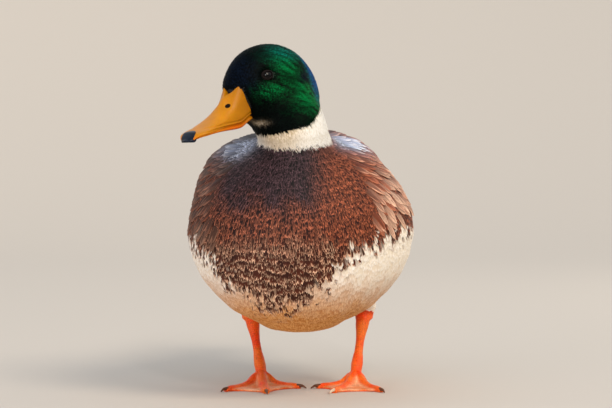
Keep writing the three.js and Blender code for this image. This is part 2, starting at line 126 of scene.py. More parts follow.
def from_shanks(places):
    """How far each place is from the middle of the nearer shank, seen from above, in millimetres."""
    return np.min([np.hypot(*(places[:, :2] - middle).T) for middle in SHANK_MIDDLES], axis=0)


def mix(a, b, share):
    return a + (b - a) * share


def ease(start, end, value):
    """0 at start and before, 1 at end and after, with a smooth run between."""
    share = np.clip((value - start) / (end - start), 0, 1)
    return share * share * (3 - 2 * share)


def unit(vectors):
    return vectors / np.maximum(np.linalg.norm(vectors, axis=-1, keepdims=True), 1e-12)


def smooth_piece(name, shape):
    """Turns a bmesh into a piece that is shaded smooth."""
    mesh = bpy.data.meshes.new(name)
    shape.to_mesh(mesh)
    shape.free()
    mesh.polygons.foreach_set("use_smooth", [True] * len(mesh.polygons))
    return placed(name, mesh)


def applied(thing):
    """The object with its modifiers made real."""
    graph = bpy.context.evaluated_depsgraph_get()
    mesh = bpy.data.meshes.new_from_object(thing.evaluated_get(graph))
    thing.modifiers.clear()
    thing.data = mesh
    return thing


def covering(name, nodes, swell, voxel, rounds):
    """One closed surface drawn over solids that lie side by side."""
    shape = bmesh.new()
    for node in nodes:
        shape.from_mesh(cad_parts[node].data)
    bmesh.ops.remove_doubles(shape, verts=shape.verts, dist=0.01 * MM)
    shape.normal_update()
    for vertex in shape.verts:
        vertex.co += vertex.normal * swell * MM
    cover = smooth_piece(name, shape)
    remesh = cover.modifiers.new("remesh", "REMESH")
    remesh.mode = "VOXEL"
    remesh.voxel_size = voxel * MM
    smooth = cover.modifiers.new("smooth", "SMOOTH")
    smooth.factor = 0.5
    smooth.iterations = rounds
    return applied(cover)


def coat_depth(points):
    """How far the skin lies under the outline, in millimetres. On the bare legs that is nothing."""
    places = stance_of(points)
    height, up = places[:, 2], head_of(points)[:, 2]
    on_shank = ease(14, 10, from_shanks(places))
    depth = mix(NECK_COAT, BODY_COAT, ease(172, 155, height))
    depth = mix(depth, HEAD_COAT, ease(-42, -30, up) * ease(166, 176, height))
    depth = mix(depth, mix(BELLY_COAT, SHANK_COAT, on_shank), ease(66, 56, height))
    start = height - BARE_BELOW + 10
    return depth * mix(ease(0, 4, start), np.clip(start / 14, 0, 1) ** 0.6, on_shank)


def vertex_array(mesh, field="co"):
    values = np.empty(len(mesh.vertices) * 3)
    mesh.vertices.foreach_get(field, values)
    return values.reshape(-1, 3)


def move_to(mesh, points):
    mesh.vertices.foreach_set("co", points.ravel())
    mesh.update()


def surface_of(mesh):
    """The mesh as a search tree, with its points, smooth normals and triangle corners."""
    triangles = bmesh.new()
    triangles.from_mesh(mesh)
    bmesh.ops.triangulate(triangles, faces=triangles.faces)
    corners = np.array([[vertex.index for vertex in face.verts] for face in triangles.faces])
    triangles.free()
    places = vertex_array(mesh)
    tree = BVHTree.FromPolygons(places.tolist(), corners.tolist())
    return tree, places, vertex_array(mesh, "normal"), corners


def settle(points, surface=None):
    """The nearest points of a surface, or else of the skin, with its smooth normals there."""
    tree, places, normals, corners = surface or skin_surface
    hits = [tree.find_nearest(Vector(point)) for point in points]
    at = np.array([hit[0] for hit in hits])
    corners = corners[[hit[2] for hit in hits]]
    a, b, c = (places[corners[:, k]] for k in range(3))
    whole = np.linalg.norm(np.cross(b - a, c - a), axis=1) + 1e-15
    share_a = np.linalg.norm(np.cross(b - at, c - at), axis=1) / whole
    share_b = np.linalg.norm(np.cross(c - at, a - at), axis=1) / whole
    share_c = np.clip(1 - share_a - share_b, 0, 1)
    shares = np.stack([share_a, share_b, share_c], 1)[..., None]
    return at, unit((normals[corners] * shares).sum(1))


skin = covering("skin", FEATHERED_FLESH + EYES, swell=0.45, voxel=2.0, rounds=14)
legs = covering("legs", BARE_FLESH + SHANKS, swell=0.3, voxel=0.75, rounds=5)
for cover in (skin, legs):
    points = vertex_array(cover.data)
    move_to(cover.data, points - vertex_array(cover.data, "normal") * coat_depth(points)[:, None] * MM)
guide = covering("guide", FEATHERED_FLESH + EYES, swell=0.45, voxel=2.0, rounds=60)
guide_surface = surface_of(guide.data)
bpy.data.objects.remove(guide)
union = skin.modifiers.new("union", "BOOLEAN")
union.operation = "UNION"
union.solver = "MANIFOLD"
union.object = legs
applied(skin)
bpy.data.objects.remove(legs)

EYE_RADIUS = 5.3
EYE_SUNK = 5.5
EYE_AHEAD = 1.0
EYE_HIGH = 1.6
SOCKET_REACH = 7.0
SOCKET_DEPTH = 4.0
GAPE = (12.6, 11.0, -25.0)
BILL_CORNER = (17.8, 7.0, -1.2)
BILL_PEAK = 26.5
NECK_RIGHT_SIDE = -29.5


def bill_rear(left, up):
    """How far forward the feathers reach to the bill's rear edge: a straight line up each cheek, and a point
    between the bill's two upper corners."""
    rise = np.clip((up - GAPE[2]) / (BILL_CORNER[2] - GAPE[2]), 0, 1)
    point = (1 - np.clip(np.abs(left) / BILL_CORNER[1], 0, 1)) * ease(-16, -9, up)
    return GAPE[0] + (BILL_CORNER[0] - GAPE[0]) * rise**0.85 + (BILL_PEAK - BILL_CORNER[0]) * point


def eye_axes(side):
    """The middle of an eye's opening on the head, with the ways out of it, along the head and up."""
    at, normal = settle(np.array([in_head(EYE_AHEAD, side * 20, EYE_HIGH)]), guide_surface)
    outward = Vector(normal[0])
    along = (head_forward - outward * head_forward.dot(outward)).normalized()
    return Vector(at[0]), outward, along, along.cross(outward) * side


def eye_reach(points, side):
    """How far each point lies along and up the head from an eye, and True where it is near that eye."""
    middle, outward, along, upward = (np.array(vector) for vector in eye_axes(side))
    off = (points - middle) / MM
    return off @ along, off @ upward, np.linalg.norm(off, axis=1) < 12


# The eyes lie in hollows. The neck is kept flat where it passes the right cheek. The cheeks swell a little
# towards the bill, and the skin under the bill's root is drawn in.
points = vertex_array(skin.data)
for side in SIDES.values():
    along, upward, near = eye_reach(points, side)
    away = np.hypot(along / 1.1, upward * 1.1)
    hollow = np.clip(1 - (away / SOCKET_REACH) ** 2, 0, 1) ** 2 * SOCKET_DEPTH * near
    points -= np.outer(hollow * MM, eye_axes(side)[1])
x, y, z = stance_of(points).T
by_cheek = ease(188, 182, z) * ease(168, 173, z) * ease(-68, -62, y) * ease(-36, -42, y)
points[:, 0] += by_cheek * np.maximum(NECK_RIGHT_SIDE - x, 0) * MM
forward, left, up = head_of(points).T
cheek = ease(-6, 12, forward) * ease(-32, -25, up) * ease(8, -4, up) * ease(0, 4, np.abs(left))
under = ease(-1.5, 1.5, forward - bill_rear(left, up)) * ease(4, 12, forward) * ease(-34, -27, up)
shift = 1.3 * cheek - 2.6 * under * ease(0, 3, np.abs(left))
points += np.outer(np.sign(left) * shift * MM, head_axes[1])
points -= np.outer(under * ease(-16, -8, up) * 1.5 * MM, head_axes[2])
move_to(skin.data, points)
skin_surface = surface_of(skin.data)


def linear(code):
    """The linear colour of an sRGB hex value, with full alpha."""
    channels = [int(code[i : i + 2], 16) / 255 for i in (1, 3, 5)]
    return [c / 12.92 if c <= 0.04045 else ((c + 0.055) / 1.055) ** 2.4 for c in channels] + [1.0]


def node(material, kind, inputs=None, **settings):
    """Adds a node to a material, with its settings. An input is a value, or the node or output to link."""
    made = material.node_tree.nodes.new("ShaderNode" + kind)
    for key, value in settings.items():
        setattr(made, key, value)
    for key, value in (inputs or {}).items():
        if isinstance(value, bpy.types.Node):
            value = next(output for output in value.outputs if output.enabled)
        if isinstance(value, bpy.types.NodeSocket):
            material.node_tree.links.new(value, made.inputs[key])
        else:
            made.inputs[key].default_value = value
    return made


def new_material(name):
    material = bpy.data.materials.new(name)
    material.use_nodes = True
    material.node_tree.nodes.clear()
    return material


def finish_with(material, surface):
    """Gives the material a surface of these values, and returns it."""
    shader = node(material, "BsdfPrincipled", surface)
    node(material, "OutputMaterial", {"Surface": shader})
    return material


# Markings: each patch of plumage is a pair of colours, the heart of its feathers and their edges.
# Some of the patches below hold painted light and shade, marked where they stand.
CREAM = ("#F0E2CC", "#FBF3E8")
TAN_STAIN_AND_SHADE = ("#C47A38", "#E2A764")
BREAST_LOW = ("#522414", "#C9A283")
BREAST_MIDDLE = ("#33130A", "#98543A")
BREAST_HIGH = ("#120809", "#4E383C")
SHOULDER = ("#4C1C10", "#A2583A")
LILAC = ("#8C97B6", "#D6DCEA")
BACK = ("#54463C", "#A29484")
FLANK = ("#CFC8BC", "#8F877C")
RUMP = ("#0A0F12", "#1B2D33")
RING = ("#EFE7D6", "#FDFBF6")
RING_FRONT_SHADE = ("#C4AB80", "#E2D0B2")
HEAD_DARK = ("#010302", "#040A08")
HEAD_NAVY = ("#03060D", "#0B1526")
# The head's green, teal and blue are its own iridescence, but where they glint bright is painted sheen.
HEAD_GREEN_SHEEN = ("#013A1C", "#028A42")
HEAD_TEAL_SHEEN = ("#01443C", "#04806C")
HEAD_BLUE_REFLECTION = ("#01285A", "#0655A0")
CHIN_PATCH = ("#DCC29A", "#F0E2C8")
LEG_ORANGE = ("#FF4A08", "#FF7C26")
WEB_PEACH_AND_SHEEN = ("#F0823C", "#FFC49A")

COLLAR_TOP = (np.array([-3.5, -69.0, 183.5]), np.array([-0.34, -0.22, 1.0]))
RING_FOOT = (np.array([-3.5, -69.0, 173.2]), np.array([-0.06, -0.16, 1.0]))
NECK_ROOT = np.array([-3.5, -69.0, 186.0])


def over_plane(places, plane):
    """Height above a slanted plane round the neck, in millimetres."""
    return (places - plane[0]) @ (plane[1] / np.linalg.norm(plane[1]))


def ripple(places, reach, seed):
    """A soft random field from -1 to 1 whose waves are about the given reach in millimetres."""
    chance = np.random.default_rng(seed)
    value = np.zeros(len(places))
    for wave in range(5):
        turn = unit(chance.normal(size=3))
        length = reach * (0.7 + 0.25 * wave)
        value += np.sin(places @ turn * 2 * np.pi / length + chance.uniform(0, 6.28))
    return value / 3


def blob(places, centre, reach):
    """1 at a centre, falling to 0 in a soft ball round it."""
    away = np.linalg.norm((places - np.array(centre)) / np.array(reach), axis=1)
    return np.exp(-away * away)


def ring_edge(places):
    """How far above the upper border of the white ring each place is, in millimetres."""
    dip = 3.4 * blob(places, (8, -87, 180), (10, 10, 9)) + 3.0 * blob(places, (-14, -88, 178), (18, 16, 14))
    return over_plane(places, COLLAR_TOP) + dip - 3.2 * blob(places, (20, -68, 193), (9, 12, 9))


def breast_edge(places):
    """How far above the lower border of the brown breast each place is, in millimetres."""
    x, y, z = places.T
    border = 61 + 50 * (1 - np.exp(-((np.abs(x + 12) / 50) ** 2.6))) + 0.7 * np.maximum(0, y + 35)
    return z - border


def markings(points):
    """The heart and edge colours of the feathers that grow at each point, as two linear arrays."""
    places, skull = stance_of(points), head_of(points)
    skull[:, 1] = np.abs(skull[:, 1])
    x, y, z = places.T
    forward, aside, up = skull.T
    grain = ripple(places, 13, 1) + 0.5 * ripple(places, 5, 2)
    edge = breast_edge(places)
    brown = ease(-4, 3, edge - 2 + 5 * grain + 7 * ripple(places, 1.3, 4))
    brown = brown * ease(30, 4, y) * ease(-10, -6, edge)
    on_neck = ease(-3.6, -2.6, over_plane(places, RING_FOOT)) * (np.hypot(x + 3.5, y + 69) < 40)
    on_head = ease(-0.5, 0.5, ring_edge(places)) * (z > 165)
    fleck = 0.62 + 0.5 * ripple(places, 3.4, 3)
    nape = forward + 0.25 * up

    def painted_sheen(gain, centre, reach, most=1.0):
        return on_head * np.clip(gain * fleck * blob(skull, centre, reach), 0, most)

    def patch(gain, centre, reach, most=1.0):
        return on_head * np.clip(gain * blob(skull, centre, reach), 0, most)

    layers = [
        (CREAM, np.ones(len(points))),
        # Tan towards the bottom of the belly: partly a real stain, partly painted shade and warm light
        # thrown up from the floor.
        (TAN_STAIN_AND_SHADE, ease(90, 52, z + 3 * grain)),
        (FLANK, ease(10, 60, y) * ease(60, 90, z)),
        (BACK, ease(-10, 25, y) * ease(126, 144, z + 3 * grain)),
        (BREAST_LOW, brown),
        (BREAST_MIDDLE, brown * ease(84, 116, z + 5 * grain)),
        # Only the bird's left shoulder takes these colours; the right shoulder keeps the darker breast
        # colours as painted shade.
        (SHOULDER, brown * ease(0, 28, x) * ease(94, 116, z + 6 * grain)),
        (BREAST_HIGH, brown * ease(112, 140, z + 5 * grain) * ease(28, 4, x) * ease(-62, -44, x)),
        (LILAC, np.clip(2.2 * blob(places, (-43, -50, 166), (13, 20, 7)), 0, 1)),
        (LILAC, np.clip(2.2 * blob(places, (30, -38, 169), (10, 22, 7)), 0, 1)),
        (RUMP, ease(78, 96, y + 3 * grain) * ease(90, 104, z)),
        (RUMP, ease(100, 116, y + 3 * grain)),
        (CREAM, ease(88, 76, z) * ease(32, 18, from_shanks(places))),
        (RING, on_neck),
        # Painted shade: the front of the ring, under the head, is warmer and darker.
        (RING_FRONT_SHADE, on_neck * np.clip(1.3 * blob(places, (-12, -90, 176), (14, 12, 12)), 0, 0.8)),
        (HEAD_DARK, on_head),
        (HEAD_NAVY, on_head * ease(-2, 12, forward) * ease(-14, 2, up) * 0.85),
        # Painted sheen: the green and teal patches sit where the light glints on the head's iridescent
        # feathers.
        (HEAD_GREEN_SHEEN, painted_sheen(1.5, (-17, 16, 3), (10, 10, 8))),
        (HEAD_GREEN_SHEEN, painted_sheen(1.6, (-23, 27, -20), (12, 14, 11))),
        (HEAD_GREEN_SHEEN, painted_sheen(1.1, (1, 18, -9), (9, 9, 5), 0.8)),
        (HEAD_TEAL_SHEEN, painted_sheen(1.3, (-24, 10, 9), (13, 7, 7), 0.9)),
        (HEAD_NAVY, patch(1.4, (-29, 21, -8), (6, 8, 3.5), 0.85)),
        # Teal and blue along the nape's edge: partly the nape's own blue gloss, partly a painted reflection
        # of the sky.
        (HEAD_TEAL_SHEEN, on_head * ease(-31, -38, nape) * np.clip(fleck, 0, 0.8)),
        (HEAD_BLUE_REFLECTION, on_head * ease(-33, -40, nape) * ease(4, 13, aside) * ease(-28, -14, up)
         * np.clip(fleck + 0.3, 0, 0.9)),
        (HEAD_DARK, patch(1.5, (0, 13, 0), (8, 9, 5))),
        (CHIN_PATCH, patch(2.6, (11.4, 11, -30.0), (3.3, 6, 1.8))),
    ]
    tints = [np.zeros((len(points), 4)), np.zeros((len(points), 4))]
    for codes, share in layers:
        tints = [mix(tint, np.array(linear(code)), share[:, None]) for tint, code in zip(tints, codes)]
    return tints


def paint(mesh, name, colours):
    layer = mesh.attributes.new(name, "FLOAT_COLOR", "POINT")
    layer.data.foreach_set("color", colours.ravel())


# The legs are orange, and paler where the thin webs stretch between the toes: partly the webs' own colour,
# partly a painted sheen.
FOOT_ROOTS = {"left": (31.4, 27.0), "right": (-35.4, 21.0)}
skin_places = stance_of(skin_surface[1])
off_toes = np.full(len(skin_places), 99.0)
for side_name, root in FOOT_ROOTS.items():
    for toe in ("inner", "middle", "outer"):
        tip = stance_of(vertex_array(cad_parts[f"claw_{toe}_{side_name}"].data)).mean(0)[:2]
        run, off = tip - root, skin_places[:, :2] - root
        share = np.clip(off @ run / (run @ run), 0, 1)
        off_toes = np.minimum(off_toes, np.linalg.norm(off - np.outer(share, run), axis=1))
height = skin_places[:, 2]
bare = ease(BARE_BELOW + 1, BARE_BELOW - 1, height)[:, None]
web = (ease(2.2, 4.2, off_toes) * ease(14, 9, height) * ease(0.5, 1.2, height))[:, None]
for layer, tint, leg, peach_and_sheen in zip(("heart", "rim"), markings(skin_surface[1]), LEG_ORANGE, WEB_PEACH_AND_SHEEN):
    tint = mix(mix(tint, np.array(linear(leg)), bare), np.array(linear(peach_and_sheen)), web)
    paint(skin.data, layer, tint)

# Bird's leg skin: living scales of keratin over flesh, waxy and half bright, so each small plate catches a
# light and the lines between them stay a deeper red.
SCALE_WIDTH = 1.3
leg_skin = new_material("scaly_leg_skin")
place = node(leg_skin, "TexCoord").outputs["Object"]
heart = node(leg_skin, "Attribute", attribute_name="heart")
rim = node(leg_skin, "Attribute", attribute_name="rim")
scales = node(
    leg_skin, "TexVoronoi", {"Vector": place, "Scale": 1 / (SCALE_WIDTH * MM), "Randomness": 0.8},
    feature="DISTANCE_TO_EDGE",
)
plates = node(leg_skin, "MapRange", {"Value": scales, "From Max": 0.16})
blush = node(leg_skin, "TexNoise", {"Vector": place, "Scale": 90.0, "Detail": 3.0})
warm = node(leg_skin, "MapRange", {"Value": blush, "From Min": 0.35, "From Max": 0.65})
tint = node(leg_skin, "Mix", {0: warm, 6: heart, 7: rim}, data_type="RGBA")
groove = node(leg_skin, "VectorMath", {0: tint, 3: 0.6}, operation="SCALE")
seams = node(leg_skin, "Mix", {0: plates, 6: groove, 7: tint}, data_type="RGBA")
relief = node(leg_skin, "Bump", {"Height": plates, "Strength": 0.5, "Distance": 0.25 * MM})
finish_with(leg_skin, {
    "Base Color": seams, "Normal": relief, "Roughness": 0.42, "IOR": 1.45, "Specular IOR Level": 0.3,
    "Subsurface Weight": 0.15, "Subsurface Scale": 2 * MM,
})
skin.data.materials.clear()
skin.data.materials.append(leg_skin)
skin.data.polygons.foreach_set("material_index", [0] * len(skin.data.polygons))
skin.data.polygons.foreach_set("use_smooth", [True] * len(skin.data.polygons))
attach(skin, "root")
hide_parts(*FEATHERED_FLESH, *SHANKS, *BARE_FLESH)


# ---- Bill ------------------------------------------------------------------
# The bill is a thin horny skin over bone: two mandibles and a black nail at the tip. Its upper corners run
# back beside the forehead, two shallow grooves follow its cutting edge, and the nostrils lie high up near
# its root.

BILL_TIP = 65.5
EDGE_LEVEL = -24.6
NOSTRIL = (28.4, 4.6)
GROOVES = (1.9, 3.7)
NAIL_REAR = 57.9
NAIL_MIDDLE = 62.4
NAIL_END = BILL_TIP + 0.6
NAIL_HALF_WIDTH = 5.8


def drawn_out(name, around, stations, section, closed=True):
    """A shell drawn from station to station: a ring is extruded, and its points are set by their turn."""
    shape = bmesh.new()
    turn_of = shape.verts.layers.float.new("turn")
    ring = bmesh.ops.create_circle(shape, segments=around, radius=1)["verts"]
    for vertex in ring:
        vertex[turn_of] = math.atan2(vertex.co.y, vertex.co.x)
    for station in stations:
        if station != stations[0]:
            inside = set(ring)
            edges = [edge for edge in shape.edges if inside.issuperset(edge.verts)]
            grown = bmesh.ops.extrude_edge_only(shape, edges=edges)["geom"]
            ring = [item for item in grown if isinstance(item, bmesh.types.BMVert)]
        for vertex in ring:
            vertex.co = section(station, vertex[turn_of])
    if closed:
        bmesh.ops.holes_fill(shape, edges=[edge for edge in shape.edges if edge.is_boundary])
    bmesh.ops.recalc_face_normals(shape, faces=shape.faces)
    return smooth_piece(name, shape)


def boxy(value, power):
    """A sine or cosine bent towards a box as the power falls below 1."""
    return math.copysign(abs(value) ** power, value)


def bill_half_width(forward):
    base = mix(11.2, 9.6, ease(10, 32, forward))
    spoon = mix(base, 11.6, ease(30, 57, forward))
    closing = np.clip((BILL_TIP - forward) / 14, 0, 1)
    return spoon * np.sqrt(1 - (1 - closing) ** 2.3)


def bill_ridge(forward):
    fall = np.clip((forward - 12) / (BILL_TIP - 12), 0, 1)
    return mix(0.5, -22.8, 1 - (1 - fall) ** 2.05) - 1.4 * ease(60, BILL_TIP, forward)


def bill_edge(forward):
    drop = ease(12, 24, forward) * mix(3.7, 1.2, ease(24, 60, forward))
    wave = 0.9 * math.sin(math.pi * ease(10, 62, forward))
    return EDGE_LEVEL + wave - drop - 1.2 * ease(58, BILL_TIP, forward)


def upper_section(forward, turn, grow=0.0):
    """A point of the upper bill's skin: boxy by the forehead, flat and oval at the tip."""
    aside, high = math.cos(turn), math.sin(turn)
    at = min(max(forward, 6.0), BILL_TIP - 0.3)
    edge = bill_edge(at)
    tall = (bill_ridge(at) - edge) / 2
    left = boxy(aside, mix(0.72, 0.86, ease(14, 34, at))) * bill_half_width(at)
    left *= 1 - mix(0.36, 0.16, ease(16, 40, at)) * (high + 1) / 2
    power = mix(0.6, 0.95, ease(16, 40, at)) if high > 0 else 0.55
    up = edge + tall + boxy(high, power) * (tall + grow)
    left += abs(grow) * aside
    if high > 0:
        up += 4.3 * ease(27, 17, at) * math.exp(-(((abs(left) - BILL_CORNER[1]) / 3.6) ** 2))
        up += 2.6 * ease(38, 24, at) * math.exp(-((left / 4.5) ** 2))
    for groove in GROOVES:
        cut = math.exp(-(((up - edge - groove) / 0.4) ** 2)) * ease(0.3, 0.7, abs(aside))
        left -= math.copysign(0.8 * cut * ease(60, 52, at), left)
    into = math.hypot((at - NOSTRIL[0]) / 2.7, (abs(left) - NOSTRIL[1]) / 2.0)
    up -= 1.0 * math.exp(-(into**4)) * (high > 0)
    return forward, left, up


def upper_bill(station, turn):
    """The station runs from inside the head, over the rear edge at 0, to the tip at 1."""
    at_root = upper_section(18, turn)
    rear = float(bill_rear(at_root[1], at_root[2]))
    if station < 0:
        forward, left, up = upper_section(rear + 3 * station, turn)
        middle = (bill_ridge(18) + bill_edge(18)) / 2
        narrowing = 1 + 0.25 * station
        return in_head(forward, left * narrowing, middle + (up - middle) * narrowing)
    forward = mix(rear, BILL_TIP - 1.5, station)
    forward, left, up = upper_section(forward, turn, -0.5 * ease(NAIL_REAR + 2, NAIL_REAR + 5, forward))
    return in_head(forward, left, up - 1.2 * ease(NAIL_REAR + 3, BILL_TIP, forward))


def nail_plate(station, turn):
    """The nail is a shield on the middle of the tip. It stands over the horn and hooks past its edge."""
    forward = mix(NAIL_REAR, NAIL_END, station)
    at = min(forward, BILL_TIP - 0.4)
    wide, edge = bill_half_width(at), bill_edge(at)
    rounding = max(1 - (max(NAIL_MIDDLE - forward, 0) / (NAIL_MIDDLE - NAIL_REAR + 0.02)) ** 2, 0)
    end = ease(63, NAIL_END, forward)
    half = min(NAIL_HALF_WIDTH * math.sqrt(rounding), wide + 0.7) * (1 - 0.25 * end)
    left = half * boxy(math.cos(turn), 0.8)
    share = min(abs(left) / (wide * 0.92 + 0.5), 1.0)
    top = edge + (bill_ridge(at) - edge) / 2 * (1 + (1 - share**2) ** 0.5)
    top += 0.35 - 1.4 * ease(60, BILL_TIP, forward) - 1.1 * end
    foot = mix(top - 1.2, edge - 1.5 + 0.8 * end, ease(58, 62, forward))
    return in_head(forward, left, mix(foot, top, ease(-0.4, 0.4, math.sin(turn))))


def lower_bill(station, turn):
    """The lower bill lies up inside the edges of the upper, so only its thin keel shows."""
    forward = mix(9.0, NAIL_REAR + 3, station)
    top = bill_edge(forward) + 1.6
    bottom = bill_edge(forward) - mix(1.7, 0.9, ease(12, 56, forward))
    width = max(bill_half_width(forward) - mix(2.6, 1.5, ease(16, 30, forward)), 1.5)
    left = boxy(math.cos(turn), 0.7) * width * ease(2, 14, forward)
    return in_head(forward, left, (top + bottom) / 2 + boxy(math.sin(turn), 0.7) * (top - bottom) / 2)


def along_head(material, place):
    """Turns a pattern to the head's own axes, and centres it midway between the eyes."""
    turned = node(material, "Mapping", {"Vector": place}, vector_type="POINT")
    turned.inputs["Rotation"].default_value = Matrix(head_axes.tolist()).to_euler()
    turned.inputs["Location"].default_value = Matrix(head_axes.tolist()) @ -head_matrix.translation
    return turned


# Bill horn: a living waxy skin of keratin, smooth and half bright, golden with orange towards its edges.
bill_horn = new_material("waxy_bill_horn")
place = node(bill_horn, "TexCoord").outputs["Object"]
turned = along_head(bill_horn, place)
axes = node(bill_horn, "SeparateXYZ", {"Vector": turned})
low_edge = node(
    bill_horn, "MapRange",
    {"Value": axes.outputs["Z"], "From Min": (EDGE_LEVEL - 4) * MM, "From Max": (EDGE_LEVEL + 1) * MM},
    interpolation_type="SMOOTHSTEP",
)
root_end = node(
    bill_horn, "MapRange",
    {"Value": axes.outputs["X"], "From Min": 34 * MM, "From Max": 15 * MM, "To Max": 0.5},
    interpolation_type="SMOOTHSTEP",
)
cloud = node(bill_horn, "TexNoise", {"Vector": place, "Scale": 140.0, "Detail": 4.0})
shading = node(
    bill_horn, "MapRange", {"Value": cloud, "From Min": 0.3, "From Max": 0.7, "To Min": 0.9, "To Max": 1.06},
)
gold = node(bill_horn, "Mix", {0: low_edge, 6: linear("#D65C02"), 7: linear("#BC7802")}, data_type="RGBA")
ochre = node(bill_horn, "Mix", {0: root_end, 6: gold, 7: linear("#925601")}, data_type="RGBA")
worn = node(bill_horn, "VectorMath", {0: ochre, 3: shading}, operation="SCALE")
stretch = node(bill_horn, "Mapping", {"Vector": turned, "Scale": (120.0, 900.0, 900.0)})
grain = node(bill_horn, "TexNoise", {"Vector": stretch, "Scale": 1.0, "Detail": 2.0})
relief = node(bill_horn, "Bump", {"Height": grain, "Strength": 0.25, "Distance": 0.2 * MM})
finish_with(bill_horn, {
    "Base Color": worn, "Normal": relief, "Roughness": 0.38, "IOR": 1.5, "Specular IOR Level": 0.18,
    "Subsurface Weight": 0.1, "Subsurface Scale": 3 * MM,
})


def mottled(name, dark, light, spots, strength, height, roughness, specular, detail=3.0, ior=1.5):
    """A hard skin whose two colours run together in spots, with their size and height in millimetres."""
    material = new_material(name)
    place = node(material, "TexCoord").outputs["Object"]
    cloud = node(material, "TexNoise", {"Vector": place, "Scale": 1 / (spots * MM), "Detail": detail})
    tint = node(material, "Mix", {0: cloud, 6: linear(dark), 7: linear(light)}, data_type="RGBA")
    relief = node(material, "Bump", {"Height": cloud, "Strength": strength, "Distance": height * MM})
    surface = {"Base Color": tint, "Normal": relief, "Roughness": roughness}
    return finish_with(material, {**surface, "IOR": ior, "Specular IOR Level": specular})


# Nail horn: hard, dense keratin, black and polished by wear, so it mirrors the sky in one soft patch.
# Its blue tint is a painted reflection of the sky.
nail_horn = mottled(
    "black_nail_horn", "#02060D", "#0A1A30", spots=2.5, strength=0.2, height=0.1, roughness=0.28,
    specular=0.22, ior=1.45,
)

steps = [-1.0, -0.35, -0.1] + [round(i / 62, 4) for i in range(62)] + [0.995]
for name, around, stations, section, material, slot, solid in (
    ("bill_upper_horn", 96, steps, upper_bill, bill_horn, "bill_horn", "bill_upper"),
    ("bill_nail_plate", 64, [i / 18 for i in range(19)], nail_plate, nail_horn, "nail_horn", "bill_nail"),
    ("bill_lower_horn", 48, [i / 30 for i in range(31)], lower_bill, bill_horn, "bill_horn", "bill_lower"),
):
    piece = drawn_out(name, around, stations, section)
    piece.data.materials.append(material)
    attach(piece, "root")
    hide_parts(solid)

# Nostrils: dark hollows, each lined by a small cup of the same horn, painted dark as its shade.
nostril_shade = mottled(
    "dark_nostril_lining", "#0A0605", "#1C0D08", spots=1.111, strength=0.0, height=0.1, roughness=0.9,
    specular=0.1, detail=2.0,
)
bill_surface = surface_of(bpy.data.objects["bill_upper_horn"].data)[0]
for side_name, side in SIDES.items():
    cup = bmesh.new()
    bmesh.ops.create_uvsphere(cup, u_segments=20, v_segments=12, radius=1.0)
    size = Matrix.Diagonal((2.3 * MM, 1.6 * MM, 0.6 * MM, 1))
    spot, outward = bill_surface.ray_cast(in_head(NOSTRIL[0], side * NOSTRIL[1], 20), -head_up)[:2]
    along = (head_forward - outward * head_forward.dot(outward)).normalized()
    turn = Matrix((along, outward.cross(along), outward)).transposed().to_4x4()
    turn.translation = spot - outward * 0.2 * MM
    bmesh.ops.transform(cup, matrix=turn @ size, verts=cup.verts)
    piece = smooth_piece(f"nostril_{side_name}", cup)
    piece.data.materials.append(nostril_shade)
    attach(piece, "root")


# ---- Eyes ------------------------------------------------------------------
# Each eye is a dark wet ball sunk in its socket. Two lids of thin, nearly black skin close round it to an
# oval opening.

OPENING = (3.5, 2.15)

# Eye: a clear wet cornea over a deep brown iris and a black pupil, so it shows one small sharp light.
eye_glass = new_material("wet_dark_eye")
place = node(eye_glass, "TexCoord").outputs["Object"]
turned = along_head(eye_glass, place)
flat = node(eye_glass, "VectorMath", {0: turned, 1: (1.0, 0.0, 1.0)}, operation="MULTIPLY")
reach = node(eye_glass, "VectorMath", {0: flat}, operation="LENGTH")
iris = node(
    eye_glass, "MapRange", {"Value": reach, "From Min": 1.9 * MM, "From Max": 2.3 * MM},
    interpolation_type="SMOOTHSTEP",
)
rays = node(eye_glass, "TexNoise", {"Vector": place, "Scale": 1500.0, "Detail": 2.0})
brown = node(eye_glass, "Mix", {0: rays, 6: linear("#050202"), 7: linear("#120804")}, data_type="RGBA")
tint = node(eye_glass, "Mix", {0: iris, 6: linear("#030202"), 7: brown}, data_type="RGBA")
finish_with(eye_glass, {"Base Color": tint, "Roughness": 0.05, "IOR": 1.34, "Specular IOR Level": 0.35})

# Lid skin: bare, thin and finely wrinkled, dull and as dark as the eye, so the eye shows by its wet light.
lid_skin = mottled(
    "bare_lid_skin", "#060404", "#1E1614", spots=0.7692, strength=0.5, height=0.15, roughness=0.7,
    specular=0.1,
)

for side_name, side in SIDES.items():
    ball = bmesh.new()
    bmesh.ops.create_uvsphere(ball, u_segments=48, v_segments=32, radius=EYE_RADIUS * MM)
    middle, outward, along, upward = eye_axes(side)
    middle = middle - outward * EYE_SUNK * MM
    bmesh.ops.translate(ball, verts=ball.verts, vec=middle)
    eyeball = smooth_piece(f"eyeball_{side_name}", ball)
    eyeball.data.materials.append(eye_glass)
    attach(eyeball, "root")
    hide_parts(f"eye_{side_name}")

    def lid(station, turn):
        """The lids run from the edge of the opening out over the ball and down under the feathers."""
        ahead = math.cos(turn) * (OPENING[0] + 1.6 * station)
        high = math.sin(turn) * (OPENING[1] + 1.8 * station)
        over_ball = max((EYE_RADIUS + 0.2) ** 2 - ahead**2 - high**2, 0.0) ** 0.5
        out = mix(over_ball, 2.0, ease(0.4, 1.0, station)) + 0.25 * math.exp(-((station / 0.15) ** 2))
        return middle + (along * ahead + outward * out + upward * high) * MM

    lids = drawn_out(f"lids_{side_name}", 48, [i / 10 for i in range(11)], lid, closed=False)
    thick = lids.modifiers.new("thickness", "SOLIDIFY")
    thick.thickness = 0.4 * MM
    thick.offset = 0.0
    lids.data.materials.append(lid_skin)
    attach(lids, "root")


